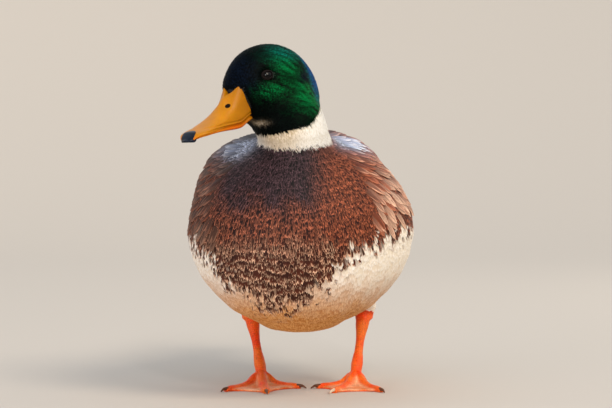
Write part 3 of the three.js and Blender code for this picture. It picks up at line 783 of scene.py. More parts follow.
# ---- Feathers of the head and the neck ring --------------------------------
# The head wears small velvety feathers, rooted in rings that start at the bill and flow back over the skull
# and down the neck. They grow longer and hair-like in the white ring, whose last rows fray over the breast.

def flat_on(vectors, normals):
    """The vectors laid flat on the skin, at unit length."""
    return unit(vectors - normals * (vectors * normals).sum(-1, keepdims=True))


def rooted(ring, rows, lie, stride, spacing, growing, ended):
    """Roots in staggered rows. Each row is the last one moved down the coat's lie and spaced out afresh.

    Returns the roots, their normals and lies, and each root's place on the skin's unwrap by ring and row.
    """
    found = []
    for row in range(rows):
        loop = np.vstack([ring, ring[:1]])
        sections = np.linalg.norm(np.diff(loop, axis=0), axis=1)
        crowd = np.concatenate([[0], np.cumsum(sections / (spacing(ring) * MM))])
        count = max(12, int(round(crowd[-1])))
        marks = (np.arange(count) + 0.5 * (row % 2)) / count * crowd[-1]
        ring = np.stack([np.interp(marks, crowd, loop[:, axis]) for axis in range(3)], 1)
        ring, normals = settle(ring, guide_surface)
        lies = flat_on(lie(ring), normals)
        alive = growing(ring)
        place = np.stack([(marks / crowd[-1]) % 1, np.full(count, (row + 0.5) / rows)], 1)
        found.append([values[alive] for values in (ring, lies, place)])
        moved = ring + lies * (stride(ring) * ~ended(ring))[:, None] * MM
        ring = 0.7 * moved + 0.15 * np.roll(moved, 1, 0) + 0.15 * np.roll(moved, -1, 0)
    roots, lies, places = [np.concatenate(values) for values in zip(*found)]
    roots, normals = settle(roots)
    return roots, normals, flat_on(lies, normals), places


def laid(roots, lies, lengths, lifts, steps):
    """Spines that lie over the skin from each root and rise to their lift, with the normals there."""
    at, up = settle(roots)
    spines, ups = [], []
    for step in range(steps):
        if step:
            at, up = settle(at + lies * (lengths / (steps - 1) * MM)[:, None])
        lies = flat_on(lies, up)
        rise = 0.15 + lifts * (step / (steps - 1)) ** 0.85
        spines.append(at + up * (rise * MM)[:, None])
        ups.append(up)
    return np.stack(spines, 1), np.stack(ups, 1)


PATCH = 0.003
ALL = slice(None)


def vanes(name, spines, ups, widths, outline, columns, fringe, camber, heart, rim, places, seed):
    """A mesh of many feathers. Each is a web of columns down its spine, with an outline and a frayed tip."""
    chance = np.random.default_rng(seed)
    count, steps = spines.shape[:2]
    each = steps * columns
    across = np.linspace(-1, 1, columns)
    along = np.linspace(0, 1, steps)
    runs = unit(np.gradient(spines, axis=1))
    sides = unit(np.cross(runs, ups))
    half = widths[:, None] * MM / 2 * np.interp(along, np.linspace(0, 1, len(outline)), outline)
    points = spines[:, :, None] + sides[:, :, None] * (half[..., None] * across)[..., None]
    points -= ups[:, :, None] * (camber * half[..., None] * across**2)[..., None]
    ragged = fringe * (np.arange(columns) % 2 + chance.uniform(-0.5, 0.5, (count, columns)))
    reach = np.linalg.norm(spines[:, -1] - spines[:, -2], axis=1) * (steps - 1)
    back = reach[:, None] * np.clip(0.2 * across**2 + ragged, -0.1, 0.9 / (steps - 1))
    points[:, -1] -= runs[:, -1, None] * back[..., None]
    grid = np.arange(each).reshape(steps, columns)
    quad = np.stack([grid[:-1, :-1], grid[:-1, 1:], grid[1:, 1:], grid[1:, :-1]], -1).reshape(-1, 4)
    faces = (quad[None] + (np.arange(count) * each)[:, None, None]).reshape(-1, 4)

    mesh = bpy.data.meshes.new(name)
    mesh.vertices.add(count * each)
    mesh.vertices.foreach_set("co", points.ravel())
    mesh.loops.add(faces.size)
    mesh.loops.foreach_set("vertex_index", faces.ravel())
    mesh.polygons.add(len(faces))
    mesh.polygons.foreach_set("loop_start", np.arange(0, faces.size, 4))
    mesh.polygons.foreach_set("use_smooth", np.ones(len(faces), bool))
    mesh.update(calc_edges=True)
    web = np.stack(np.broadcast_arrays(across[None] / 2 + 0.5, along[:, None]), -1).reshape(1, -1, 2)
    for layer, corners in (
        ("vane", np.broadcast_to(web, (count, each, 2))),
        ("OFBake", places[:, None] * 0.99 + web * PATCH),
    ):
        mesh.uv_layers.new(name=layer).data.foreach_set("uv", corners.reshape(-1, 2)[faces.ravel()].ravel())
    bent = ups[:, :, None] + sides[:, :, None] * (0.35 * across)[:, None]
    mesh.normals_split_custom_set_from_vertices(unit(bent).reshape(-1, 3).tolist())
    paint(mesh, "heart", np.repeat(heart, each, axis=0))
    paint(mesh, "rim", np.repeat(rim, each, axis=0))
    tone = mesh.attributes.new("tone", "FLOAT", "POINT")
    tone.data.foreach_set("value", np.repeat(chance.uniform(0, 1, count), each))
    return placed(name, mesh)


def dress(name, width, outline, columns, fringe, camber, material, seed, which=ALL):
    """Makes and hangs one piece of the coat, from the laid feathers or from those of them that it takes."""
    widths = np.broadcast_to(width, len(spines))[which]
    piece = vanes(
        name, spines[which], ups[which], widths, outline, columns, fringe, camber, heart[which], rim[which],
        places[which], seed,
    )
    piece.data.materials.append(material)
    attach(piece, "root")
    return piece


def plumage(name, barbs, fray, edge, streak, shade, roughness, side=0.5, bars=0.0, bands=None, **gloss):
    """A feather's web: barbs run down it as fine streaks, its edge is pale and frayed, and its root is
    darkened with painted shade.
    """
    material = new_material(name)
    web = node(material, "UVMap", uv_map="vane")
    split = node(material, "SeparateXYZ", {"Vector": web})
    down = split.outputs["Y"]
    tone = node(material, "Attribute", attribute_name="tone").outputs["Fac"]
    heart = node(material, "Attribute", attribute_name="heart")
    rim = node(material, "Attribute", attribute_name="rim")
    far = node(material, "Math", {0: tone, 1: 90.0}, operation="MULTIPLY")
    fine = node(material, "Math", {0: split, 1: barbs}, operation="MULTIPLY")
    slow = node(material, "Math", {0: down, 1: 1.6}, operation="MULTIPLY")
    grain = node(material, "CombineXYZ", {"X": fine, "Y": slow, "Z": far})
    streaks = node(material, "TexNoise", {"Vector": grain, "Scale": 1.0, "Detail": 2.0})
    middle = node(material, "Math", {0: split, 1: 0.5}, operation="SUBTRACT")
    aside = node(material, "Math", {0: middle}, operation="ABSOLUTE")
    outer = node(material, "Math", {0: aside, 1: side, 2: down}, operation="MULTIPLY_ADD")
    frayed = node(material, "Math", {0: streaks, 1: fray, 2: outer}, operation="MULTIPLY_ADD")
    share = node(
        material, "MapRange",
        {"Value": frayed, "From Min": edge[0] + fray / 2, "From Max": edge[1] + fray / 2},
        interpolation_type="SMOOTHSTEP",
    )
    if bars:
        wave = node(
            material, "TexWave", {"Vector": grain, "Scale": bars, "Distortion": 2.5, "Detail": 1.0},
            bands_direction="Y",
        )
        share = node(material, "Math", {0: wave.outputs["Fac"], 1: share}, operation="MAXIMUM")
    tint = node(material, "Mix", {0: share, 6: heart, 7: rim}, data_type="RGBA")
    if bands:
        tint = node(material, "ValToRGB", {"Fac": frayed})
        stops = tint.color_ramp.elements
        for start, code in bands:
            stops.new(min(start + fray / 2, 1.0)).color = linear(code)
        stops.remove(stops[0])
        stops.remove(stops[-1])
    depth = node(
        material, "MapRange",
        {"Value": streaks, "From Min": 0.3, "From Max": 0.7, "To Min": 1 - streak, "To Max": 1 + streak},
    )
    # Painted shade: each feather darkens towards its root, where the row before it lies over it.
    cover = node(
        material, "MapRange",
        {"Value": down, "From Min": shade[0], "From Max": shade[1], "To Min": shade[2]},
        interpolation_type="SMOOTHSTEP",
    )
    streaks_and_root_shade = node(material, "Math", {0: depth, 1: cover}, operation="MULTIPLY")
    shaded = node(material, "VectorMath", {0: tint, 3: streaks_and_root_shade}, operation="SCALE")
    relief = node(material, "Bump", {"Height": streaks, "Strength": 0.35, "Distance": 0.2 * MM})
    surface = {"Base Color": shaded, "Normal": relief, "Roughness": roughness, "Specular IOR Level": 0.2}
    return finish_with(material, {**surface, **gloss})


BILL_MIDDLE = (26.0, 0.0, -12.0)
HEAD_ROWS = 84
HEAD_STRIDE = 1.25
HEAD_SPACING = 1.4


def head_lie(points):
    """The head's coat flows away from the bill, then turns down the neck."""
    skull = head_of(points) - np.array(BILL_MIDDLE)
    away = np.linalg.norm(skull, axis=1, keepdims=True)
    return skull / away @ head_axes + np.array([0.05, -0.05, -1.0]) * 2.2 * ease(26, 62, away)


def below_ring(points):
    """True past the foot of the neck ring, where the head's and neck's feathers end."""
    return over_plane(stance_of(points), RING_FOOT) < 0


def off_face(points):
    """True where the head's feathers grow: behind the bill, off the eyes, and down to the ring's foot."""
    forward, left, up = head_of(points).T
    off_eye = True
    for side in SIDES.values():
        along, upward, near = eye_reach(points, side)
        off_eye &= ~near | (np.hypot((along - 0.9) / 4.5, upward / 2.9) > 1)
    return off_eye & (forward < bill_rear(left, up) - 0.3) & ~below_ring(points)


chance = np.random.default_rng(11)
turns = np.linspace(0, 2 * np.pi, 60, endpoint=False)
bill_ring = [in_head(16 + 4 * math.sin(a), 8 * math.cos(a), -17 + 13 * math.sin(a)) for a in turns]
roots, normals, lies, places = rooted(
    np.array(bill_ring), HEAD_ROWS, head_lie, lambda p: np.full(len(p), HEAD_STRIDE),
    lambda p: HEAD_SPACING - 0.5 * ease(4, -2, ring_edge(stance_of(p))), off_face, below_ring,
)
lies = flat_on(lies + 0.1 * chance.normal(size=lies.shape), normals)
shown = settle(roots + lies * 3.2 * MM)[0]
white = ring_edge(stance_of(shown)) < 0
heart, rim = markings(shown)
lengths = np.where(white, 6.2, 4.2) * chance.uniform(0.75, 1.25, len(roots))
spines, ups = laid(roots, lies, lengths, np.where(white, 1.3, 0.85), 3)

# Head feathers: short and dense as velvet, so they barely shine. White ones: soft and matt, with open tips.
velvet = plumage(
    "velvet_head_plumage", barbs=7.0, fray=0.8, edge=(0.8, 1.1), streak=0.3, shade=(0.4, 0.8, 0.7),
    roughness=0.45, **{"Specular IOR Level": 0.02},
)
down = plumage(
    "soft_white_plumage", barbs=6.0, fray=0.8, edge=(0.7, 1.0), streak=0.08, shade=(0.4, 0.8, 0.88),
    roughness=0.8,
)
dress(
    "head_feathers", width=2.2, outline=(0.5, 1.0, 0.55), columns=5, fringe=0.2, camber=0.3,
    material=velvet, seed=12, which=~white,
)
dress(
    "ring_feathers", width=1.15, outline=(0.8, 1.0, 0.2), columns=5, fringe=0.3, camber=0.1, material=down,
    seed=13, which=white,
)


def scattered(chosen, spread):
    """The roots and lies of single barbs that stand beside the chosen feathers."""
    beside = roots[chosen] + chance.normal(size=(len(chosen), 3)) * 0.9 * MM
    return beside, flat_on(lies[chosen] + spread * chance.normal(size=(len(chosen), 3)), normals[chosen])


# Single white barbs hang from the ring's foot over the first rows of the breast.
foot = np.repeat(np.flatnonzero(white & (over_plane(stance_of(roots), RING_FOOT) < 4)), 4)
heart, rim, places = heart[foot], rim[foot], places[foot]
barb_roots, barb_lies = scattered(foot, 0.12)
spines, ups = laid(barb_roots, barb_lies, chance.uniform(5, 9.5, len(foot)), np.full(len(foot), 1.7), 4)
dress(
    "ring_barbs", width=0.35, outline=(1.0, 1.0, 0.4), columns=2, fringe=0.0, camber=0.0, material=down,
    seed=14,
)


# ---- Feathers of the body --------------------------------------------------
# The body's feathers spread in rows from the foot of the neck ring, down over the breast and belly and back
# over the shoulders. They are small and frayed like hair on the upper breast, and broad on flanks and back.

BODY_ROWS = 132
BODY_STRIDE = 2.2
BODY_SPACING = 2.0
BODY_END = 148.0
LEG_TOPS = 76.0


def body_lie(points):
    """The coat spreads from the neck over the breast, then turns back towards the tail."""
    places = stance_of(points)
    return mix(unit(places - NECK_ROOT), np.array([0.0, 1.0, -0.08]), ease(-45, 55, places[:, 1])[:, None])


def grain_size(points):
    """How large the feathers are at each point, from under 1 by the neck ring."""
    places = stance_of(points)
    away = np.linalg.norm(places - NECK_ROOT, axis=1)
    front = 0.72 + 0.24 * ease(25, 75, away) + 0.16 * ease(65, 115, away)
    return mix(front, 1 + 1.7 * ease(20, 75, away), ease(-40, 15, places[:, 1]))


def past_body(points):
    return stance_of(points)[:, 1] > BODY_END


def on_body(points):
    """True where body feathers grow: ahead of the tail and off the shanks, most on their outer sides."""
    places = stance_of(points)
    x, y, z = places.T
    outer_side = (x > SHANK_MIDDLES[0][0]) | (x < SHANK_MIDDLES[1][0])
    return ~past_body(points) & ((z > LEG_TOPS) | (from_shanks(places) > np.where(outer_side, 15, 10)))


foot_centre = stance(*RING_FOOT[0])
foot_turn = Vector(RING_FOOT[1]).normalized().to_track_quat("Z", "Y")
collar_ring = []
for turn in turns:
    outward = foot_turn @ Vector((math.cos(turn), math.sin(turn), 0))
    collar_ring.append(skin_surface[0].ray_cast(foot_centre, outward)[0])
roots, normals, lies, places = rooted(
    np.array(collar_ring), BODY_ROWS, body_lie, lambda p: BODY_STRIDE * grain_size(p),
    lambda p: BODY_SPACING * grain_size(p), on_body, past_body,
)
size = grain_size(roots)
lies = flat_on(lies + 0.08 * chance.normal(size=lies.shape), normals)
x, y, z = stance_of(roots).T
stray = mix(0.6, 0.12, ease(104, 124, z) * ease(-15, -40, y))
roots = roots + lies * (BODY_STRIDE * size * stray * chance.uniform(-1, 1, len(roots)) * MM)[:, None]
root_places = stance_of(roots)
x, y, z = root_places.T
on_breast = ease(-4, 8, breast_edge(root_places)) * ease(-15, -30, y)
smooth = ease(30, 5, y) * (1 - on_breast)
lifts = mix(0.85, 0.45, smooth) * mix(1, 1.2, on_breast) * size
to_shank = from_shanks(root_places)
short = np.maximum(np.clip((to_shank - 11) / 14, 0.3, 1), ease(LEG_TOPS, LEG_TOPS + 16, z))
spines, ups = laid(roots, lies, 8.8 * size * short * chance.uniform(0.8, 1.2, len(roots)), lifts * short, 4)
shown = 0.4 * spines[:, 2] + 0.6 * spines[:, 3]
shown_places = stance_of(shown)
x, y, z = shown_places.T
heart, rim = markings(shown)
pale = heart[:, 0] > 0.5
away = np.linalg.norm(shown_places - NECK_ROOT, axis=1)
arcs = 1 + 0.4 * on_breast * np.sin(2 * np.pi * away / 5.0 + 2 * ripple(shown_places, 40, 5))
arcs = np.where(pale, 1, arcs)[:, None]
heart, rim = heart * arcs, rim * arcs

# Breast feathers are hair-like above, then rounder with pale scalloped edges. Belly feathers are matt down.
# Back feathers are crossed by fine bars, drawn coarser than life so that they show.
fine = plumage(
    "hair_like_breast_plumage", barbs=9.0, fray=0.9, edge=(0.82, 1.06), streak=0.42,
    shade=(0.66, 0.86, 0.4), roughness=0.6, side=0.2,
)
scalloped = plumage(
    "scalloped_breast_plumage", barbs=7.0, fray=0.8, edge=(0.9, 1.06), streak=0.25, shade=(0.66, 0.84, 0.6),
    roughness=0.65, side=0.35,
)
soft = plumage(
    "soft_belly_plumage", barbs=8.0, fray=0.9, edge=(0.7, 1.1), streak=0.04, shade=(0.62, 0.84, 0.94),
    roughness=0.85,
)
barred = plumage(
    "vermiculated_back_plumage", barbs=9.0, fray=0.5, edge=(0.92, 1.1), streak=0.12,
    shade=(0.6, 0.84, 0.65), roughness=0.62, bars=5.0,
)
breast = (y < -25) & (breast_edge(shown_places) > -14) & ~pale
belly = ~breast & (((z < 100) | pale) & (y < 12) | (to_shank < 30) & (z < 86))
for name, which, material, slot in (
    ("upper_breast_feathers", breast & (z > 108), fine, "breast_feathers"),
    ("lower_breast_feathers", breast & ~(z > 108), scalloped, "breast_feathers"),
    ("belly_feathers_left", belly & (x > 0), soft, "flank_feathers"),
    ("belly_feathers_right", belly & (x <= 0), soft, "flank_feathers"),
    ("back_feathers", ~breast & ~belly, barred, "wing_feathers"),
):
    columns, camber = (9, 0.15) if material is soft else (7, 0.35)
    dress(
        name, width=4.8 * size, outline=(0.35, 0.85, 1.0, 0.7), columns=columns, fringe=0.15, camber=camber,
        material=material, seed=21, which=which,
    )

# Single barbs stand a little proud of the breast, pale and as fine as hair, and fan out from the ring.
loose = np.flatnonzero(breast & (z > 96))
heart = rim = 1.3 * rim[loose]
places = places[loose]
barb_roots, barb_lies = scattered(loose, 0.05)
spines, ups = laid(
    barb_roots, barb_lies, chance.uniform(8, 13, len(loose)) * size[loose], 1.5 * size[loose], 4,
)
dress(
    "breast_barbs", width=0.42, outline=(1.0, 1.0, 0.5), columns=2, fringe=0.0, camber=0.0, material=fine,
    seed=22,
)


# ---- Shank feathers --------------------------------------------------------
# Short soft feathers sleeve the top of each leg, in rings from the belly down, and hang over the ankle. Each
# sleeve's feathers are rooted round a line from the thigh's middle to the ankle's.

SLEEVE_ROWS = 12
SLEEVE_TURNS = 26
SLEEVE_STEP = 0.053
SLEEVES = {
    "left": ((49.1, 37.1, 76.0), (36.0, 42.2, 47.0)),
    "right": ((-55.1, 36.2, 76.0), (-43.2, 35.6, 47.0)),
}


def tinted(codes, count):
    """The heart and edge colours of some feathers that are all alike."""
    return [np.tile(linear(code), (count, 1)) for code in codes]


for side_name, ends in SLEEVES.items():
    top, foot = (stance(*end) for end in ends)
    across = (foot - top).orthogonal().normalized()
    roots, places = [], []
    for row in range(SLEEVE_ROWS):
        centre = top.lerp(foot, 0.02 + SLEEVE_STEP * row)
        for step in range(SLEEVE_TURNS):
            share = (step + 0.5 * (row % 2)) / SLEEVE_TURNS
            outward = Matrix.Rotation(2 * math.pi * share, 3, foot - top) @ across
            at = skin_surface[0].ray_cast(centre, outward)[0]
            if at and (at - centre).length < 15 * MM:
                roots.append(at)
                places.append((share, row / SLEEVE_ROWS))
    roots, normals = settle(np.array(roots))
    places = np.array(places)
    lies = flat_on(np.array((foot - top).normalized()) + 0.1 * chance.normal(size=roots.shape), normals)
    heart, rim = tinted(CREAM, len(roots))
    spines, ups = laid(roots, lies, chance.uniform(5, 8, len(roots)), np.full(len(roots), 1.2), 4)
    dress(
        f"shank_feathers_{side_name}", width=4.2, outline=(0.4, 0.9, 1.0, 0.6), columns=7, fringe=0.13,
        camber=0.3, material=soft, seed=31,
    )


# ---- Shoulders and folded wings --------------------------------------------
# Long scapulars sweep from the neck down over the folded wing. Behind them lie the coverts, the blue
# speculum between its black and white bars, the long brown tertials and the tips of the primaries.

ROLL = math.radians(4)
ROLL_HEIGHT = 55.0
BODY_MIDDLE = 108.0


def rolled(places):
    """Places along the trunk's own axes, which lean a little to the bird's right, as points of the frame."""
    x, y, z = np.moveaxis(np.asarray(places, float), -1, 0)
    z = z - ROLL_HEIGHT
    across = x * math.cos(ROLL) - z * math.sin(ROLL)
    height = x * math.sin(ROLL) + z * math.cos(ROLL) + ROLL_HEIGHT
    return np.stack((across, y, height), -1) * MM + np.array(floor_point)


def on_trunk(side, y, turn):
    """The skin's points at a place along the trunk and a turn down from the back, on one side."""
    found = []
    for along, angle in zip(y, np.radians(turn)):
        start = rolled([0, along, BODY_MIDDLE])
        end = rolled([side * math.sin(angle), along, BODY_MIDDLE + math.cos(angle)])
        found.append(skin_surface[0].ray_cast(Vector(start), Vector(end - start))[0])
    return np.array(found)


def downward(side, turn, sweep):
    """A lie that points back along the trunk, swept down round it by an angle."""
    turn, sweep = np.radians(turn), np.radians(sweep)
    across = np.stack([side * np.cos(turn), 0 * turn, -np.sin(turn)], -1) * np.sin(sweep)[:, None]
    back = np.array([0.0, 1.0, 0.0]) * np.cos(sweep)[:, None]
    return rolled(across + back) - rolled([0, 0, 0])


def on_wing(count, start, end, sweeps, lengths, lifts, steps):
    """A row of large feathers between two places on the wing, each given along the trunk and round it."""
    turn = np.linspace(start[1], end[1], count)
    roots = on_trunk(side, np.linspace(start[0], end[0], count), turn)
    lies = flat_on(downward(side, turn, np.broadcast_to(sweeps, count)), settle(roots)[1])
    return laid(roots, lies, np.broadcast_to(lengths, count), lifts, steps)


def arched(roots, tips, bow, steps):
    """Spines from root to tip that bow upwards between them, with the normals over them."""
    along = np.linspace(0, 1, steps)[None, :, None]
    lift = np.array([0, 0, 1.0]) * (4 * along * (1 - along)) * bow * MM
    roots, tips = (rolled(np.stack(np.broadcast_arrays(*ends), 1)) for ends in (roots, tips))
    spines = roots[:, None] + (tips - roots)[:, None] * along + lift
    runs = unit(np.gradient(spines, axis=1))
    return spines, flat_on(np.broadcast_to([0.0, 0.0, 1.0], runs.shape), runs)


def unwrapped(count, band):
    """Places on the skin's unwrap for a few large feathers, in a band of their own."""
    return np.stack([(np.arange(count) + 0.5) / count, np.full(count, band)], 1)


# Scapulars are long and soft, with pale worn edges. Coverts are grey, with a white and a black bar. The
# speculum is blue by its barbs' fine structure, so it shines a little like metal. Quills are smooth.
scapular = plumage(
    "long_scapular_plumage", barbs=20.0, fray=1.1, edge=(0.8, 1.06), streak=0.4, shade=(0.2, 0.6, 0.6),
    roughness=0.6, side=0.75,
)
covert = plumage(
    "grey_covert_plumage", barbs=14.0, fray=0.06, edge=(0.86, 0.96), streak=0.12, shade=(0.3, 0.7, 0.6),
    roughness=0.55, side=0.1,
    bands=((0.0, "#6B6057"), (0.72, "#7A6E64"), (0.76, "#EDE7DC"), (0.88, "#EDE7DC"), (0.9, "#0B0C0E")),
)
mirror = plumage(
    "iridescent_speculum_plumage", barbs=14.0, fray=0.05, edge=(0.86, 0.96), streak=0.2,
    shade=(0.1, 0.4, 0.6), roughness=0.4, side=0.1, Metallic=0.4,
    bands=((0.0, "#1A2E86"), (0.8, "#2B3FB0"), (0.83, "#07080A"), (0.93, "#07080A"), (0.95, "#F2EDE4")),
)
quill = plumage(
    "long_flight_plumage", barbs=20.0, fray=0.12, edge=(0.9, 1.0), streak=0.14, shade=(0.1, 0.4, 0.75),
    roughness=0.5, side=0.6,
)
SCAPULAR_ROWS = 17
SCAPULARS_IN_ROW = 19
SCAPULAR_LENGTH = 30.0
SCAPULAR_WIDTH = 6.6
WORN_AND_LIT_EDGE = "#E8BFA2"
TERTIAL_HEARTS = ("#3B2C24", "#55463B", "#8D8074", "#A79B8F", "#8D8074")
TERTIAL_EDGE = "#C9BFB2"
FLIGHT_BROWN = ("#3F342D", "#8A7D70")
for side_name, side in SIDES.items():
    found = []
    for row in range(SCAPULAR_ROWS):
        behind = row / (SCAPULAR_ROWS - 1)
        inner, outer = mix(28, 12, ease(0, 0.4, behind)), mix(74, 64, behind)
        spread = np.linspace(inner, outer, SCAPULARS_IN_ROW) + 2 * (row % 2)
        found.append([
            mix(-58, 38, behind) - 0.42 * spread * (1 - behind),
            spread,
            mix(64, 4, behind**0.7) * ease(0, 34, spread) + 4,
            np.full(SCAPULARS_IN_ROW, mix(0.7, 1.1, ease(0.1, 0.6, behind))),
        ])
    along, round_by, sweeps, grown = np.concatenate(found, axis=1)
    count = len(along)
    along = along + chance.normal(size=count) * 1.5
    round_by = round_by + chance.normal(size=count) * 1.2
    roots = on_trunk(side, along, round_by)
    normals = settle(roots)[1]
    lies = flat_on(downward(side, round_by, sweeps + chance.normal(size=count) * 5), normals)
    heart, rim = markings(settle(roots + lies * 16 * MM)[0])
    # The outer feathers of the left shoulder are worn palest, with painted light on them too.
    # The right shoulder is darker all over as painted shade; each feather's tone also differs at random.
    outer = ease(30, 55, stance_of(roots)[:, 0]) * ease(20, -10, along)
    wear_and_painted_light = (mix(0.35, 1.0, outer) * chance.uniform(0, 1, count) ** mix(1.5, 0.5, outer))[:, None]
    rim = mix(rim, np.array(linear(WORN_AND_LIT_EDGE)), wear_and_painted_light)
    tones_and_shade = chance.uniform(0.8, 1.2, (count, 1)) * (0.76 + 0.24 * side)
    heart, rim = mix(heart, rim, 0.2 + 0.3 * outer[:, None]) * tones_and_shade, rim * tones_and_shade
    lengths = SCAPULAR_LENGTH * grown * chance.uniform(0.8, 1.2, count)
    spines, ups = laid(roots, lies, lengths, 3.0 * grown, 9)
    places = np.stack([(round_by + 2) / 90, (along + 100) / 250], 1)
    dress(
        f"scapulars_{side_name}", width=SCAPULAR_WIDTH * grown, outline=(0.3, 0.8, 1.0, 0.9, 0.3),
        columns=11, fringe=0.05, camber=0.18, material=scapular, seed=41,
    )

    count = 9
    heart, rim = tinted(BACK, count)
    for name, start, end, sweep, length, lift, width, material, band in (
        ("secondaries", (52, 84), (42, 58), -4.0, 58.0, 3.8, 15.0, mirror, 0.86),
        ("greater_coverts", (32, 84), (24, 56), -3.0, 32.0, 4.4, 14.0, covert, 0.88),
    ):
        spines, ups = on_wing(count, start, end, sweep, length, lift + np.linspace(0, 1.6, count), 10)
        places = unwrapped(count, band)
        dress(
            f"{name}_{side_name}", width=width, outline=(0.5, 0.9, 1.0, 1.0, 0.7), columns=9, fringe=0.01,
            camber=0.1, material=material, seed=42,
        )

    count = len(TERTIAL_HEARTS)
    order = np.linspace(0, 1, count)
    heart = np.array([linear(code) for code in TERTIAL_HEARTS])
    rim = np.tile(linear(TERTIAL_EDGE), (count, 1))
    sweeps, lengths = mix(-4, 4, order), mix(74, 96, order)
    spines, ups = on_wing(count, (34, 56), (22, 30), sweeps, lengths, 5.6 + 3.0 * order, 12)
    places = unwrapped(count, 0.9)
    dress(
        f"tertials_{side_name}", width=mix(17, 22, order), outline=(0.4, 0.9, 1.0, 0.9, 0.35), columns=11,
        fringe=0.01, camber=0.12, material=quill, seed=43,
    )

    count = 6
    order = np.linspace(0, 1, count)
    heart, rim = tinted(FLIGHT_BROWN, count)
    spines, ups = arched(
        (side * mix(30, 27, order), mix(62, 84, order), mix(146, 150.5, order)),
        (side * mix(26, 13.5, order), mix(140, 180, order), mix(138.5, 133.5, order)), 1.5, 12,
    )
    places = unwrapped(count, 0.92)
    piece = dress(
        f"primaries_vanes_{side_name}", width=mix(13, 15, order), outline=(0.7, 1.0, 1.0, 0.8, 0.3),
        columns=9, fringe=0.01, camber=0.2, material=quill, seed=44,
    )
    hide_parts(f"primaries_{side_name}")


# ---- Tail ------------------------------------------------------------------
# Eighteen stiff feathers fan out, dusky in the middle and white outside. Black coverts lie over and under
# their roots, and the drake's curled black feathers stand over them.

TAIL_COUNT = 18
TAIL_WHITE = ("#EAE4DA", "#F4F0E8")
TAIL_DUSKY = "#8A8075"
COVERT_COUNT = 60
fan = np.linspace(-1, 1, TAIL_COUNT)
order = 1 - np.abs(fan)
heart, rim = tinted(TAIL_WHITE, TAIL_COUNT)
heart = mix(heart, np.array(linear(TAIL_DUSKY)), order[:, None] ** 1.5)
spines, ups = arched(
    (13 * fan, 112.0, 120 + 1.5 * order),
    (30 * fan, 216 - 15 * fan**2, 130 - 5 * fan**2 + 1.6 * order), -2.0, 12,
)
places = unwrapped(TAIL_COUNT, 0.94)
piece = dress(
    "tail_vanes", width=15.0, outline=(0.6, 0.9, 1.0, 1.0, 0.5), columns=9, fringe=0.01, camber=0.15,
    material=quill, seed=51,
)
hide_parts("tail")

# Black feathers: smooth and close, so they catch a soft gloss.
glossy = plumage(
    "glossy_black_plumage", barbs=12.0, fray=0.6, edge=(0.8, 1.1), streak=0.2, shade=(0.2, 0.6, 0.7),
    roughness=0.45,
)
for name, level, rise, band, seed in (
    ("upper_tail_coverts", 132.0, -4.0, 0.96, 52), ("under_tail_coverts", 112.0, 6.0, 0.98, 53),
):
    fan = chance.uniform(-1, 1, COVERT_COUNT)
    order = np.linspace(0, 1, COVERT_COUNT)
    heart, rim = tinted(RUMP, COVERT_COUNT)
    spines, ups = arched(
        (20 * fan, 112 + 14 * order, level - rise * 0.5 * fan**2),
        (24 * fan, 146 + 26 * order, level + rise * (1 + 0.4 * order) - 4 * fan**2), 1.0, 7,
    )
    places = unwrapped(COVERT_COUNT, band)
    dress(
        name, width=11.0, outline=(0.5, 0.9, 1.0, 0.9, 0.4), columns=7, fringe=0.03, camber=0.2,
        material=glossy, seed=seed,
    )

# Each curl is two long coverts, one inside the other, whose spines pass smoothly through these places.
CURL = (
    (4, 126, 131), (5, 148, 138), (5.8, 161, 146), (6.4, 165, 156), (7, 158, 164), (7.6, 148, 162),
    (8.2, 146, 155),
)
for side_name, side in SIDES.items():
    knots = np.array(CURL, float) * (side, 1, 1)
    marks = np.linspace(0, len(knots) - 1.001, 26)
    first = marks.astype(int)
    share = (marks - first)[:, None]
    before, start, end, after = (knots[np.clip(first + step, 0, len(knots) - 1)] for step in (-1, 0, 1, 2))
    curve = 0.5 * (
        2 * start + (end - before) * share + (2 * before - 5 * start + 4 * end - after) * share**2
        + (3 * start - before - 3 * end + after) * share**3
    )
    spines = rolled(curve)[None]
    runs = unit(np.gradient(spines, axis=1))
    ups = unit(np.cross(runs, np.broadcast_to([float(side), 0.0, 0.0], runs.shape))) * side
    spines = np.concatenate([spines, spines + np.array([side * 1.4, 0.6, -1.0]) * MM])
    ups = np.concatenate([ups, ups])
    heart, rim = tinted(RUMP, 2)
    places = unwrapped(2, 0.99)
    piece = dress(
        f"curled_feathers_{side_name}", width=(8.0, 7.0), outline=(0.6, 1.0, 1.0, 1.0, 0.6), columns=7,
        fringe=0.01, camber=0.25, material=glossy, seed=54,
    )
    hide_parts(f"tail_curl_{side_name}")


# ---- Claws -----------------------------------------------------------------
# Each front toe ends in a short horny claw, set on its tip, which keeps its solid shape. The horn is dark
# brown, and pale on the middle toe of the left foot.

# Claw horn: dense keratin, worn half bright, with fine growth that breaks its brown into paler wear.
dark_claw = mottled(
    "dark_claw_horn", "#2A1A12", "#84563C", spots=2.0, strength=0.3, height=0.1, roughness=0.45,
    specular=0.3,
)
pale_claw = mottled(
    "pale_claw_horn", "#C9A98A", "#EBD9C0", spots=2.0, strength=0.3, height=0.1, roughness=0.45,
    specular=0.3,
)
for toe in ("inner", "middle", "outer"):
    for side_name in SIDES:
        horn = pale_claw if (toe, side_name) == ("middle", "left") else dark_claw
        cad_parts[f"claw_{toe}_{side_name}"].material_slots[0].material = horn


# ---- Floor and light -------------------------------------------------------
# A plain pale studio: a paper floor that curves up slowly all round, a warm high key light from the bird's
# left, a low fill from its right, a small light for the eye, and a weaker light from behind.

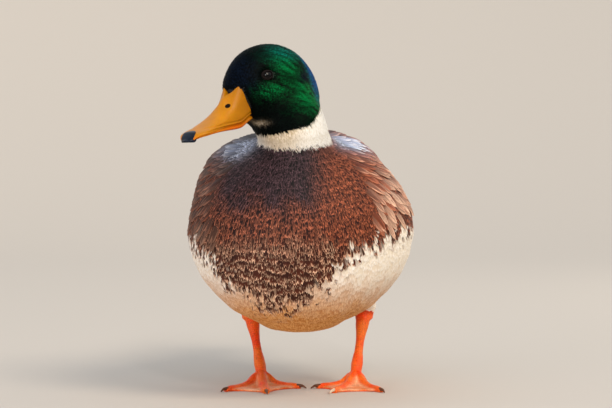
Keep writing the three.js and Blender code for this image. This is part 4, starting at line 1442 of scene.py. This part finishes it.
FLOOR_REACH = 2.0
CURVE = 3.5
profile = [(radius, 0.0) for radius in np.linspace(0, FLOOR_REACH, 7)]
for rise in np.radians(np.linspace(4, 60, 15)):
    profile.append((FLOOR_REACH + CURVE * math.sin(rise), CURVE * (1 - math.cos(rise))))
studio = bmesh.new()
corners = [studio.verts.new((radius, 0, height)) for radius, height in profile]
edges = [studio.edges.new(pair) for pair in zip(corners, corners[1:])]
bmesh.ops.spin(
    studio, geom=corners + edges, cent=(0, 0, 0), axis=(0, 0, 1), angle=2 * math.pi, steps=96,
    use_merge=True,
)
bmesh.ops.remove_doubles(studio, verts=studio.verts, dist=1e-5)
bmesh.ops.recalc_face_normals(studio, faces=studio.faces)
bmesh.ops.reverse_faces(studio, faces=studio.faces)
floor = smooth_piece("floor", studio)
floor.data.materials.append(finish_with(
    new_material("pale_studio_paper"), {"Base Color": linear("#C6BFB6"), "Roughness": 0.9},
))


def lamp(name, kind, place, target, power, colour, **settings):
    """A light that faces its target."""
    light = bpy.data.lights.new(name, kind)
    light.energy = power
    light.color = linear(colour)[:3]
    for key, value in settings.items():
        setattr(light, key, value)
    thing = placed(name, light)
    thing.location = place
    thing.rotation_euler = (target - place).to_track_quat("-Z", "Y").to_euler()
    thing.visible_camera = False


middle = stance(0, 0, 130)
lamp("key", "SUN", stance(1200, -1100, 1500), middle, 1.75, "#FFF0DC", angle=math.radians(25))
lamp("fill", "AREA", stance(-900, -1350, 110), stance(-40, 0, 30), 12, "#FBF4FF", size=0.7)
lamp("catch", "AREA", stance(350, -1250, 800), stance(-30, -80, 210), 3, "#FFFFFF", size=0.1)
lamp("rim", "AREA", stance(1250, 1120, 700), middle, 4, "#FFF2E0", size=0.5)
world = bpy.data.worlds.new("studio")
world.use_nodes = True
world.node_tree.nodes["Background"].inputs["Color"].default_value = linear("#DDE2E8")
world.node_tree.nodes["Background"].inputs["Strength"].default_value = 1.0
bpy.context.scene.world = world
bpy.context.scene.view_settings.view_transform = "Standard"
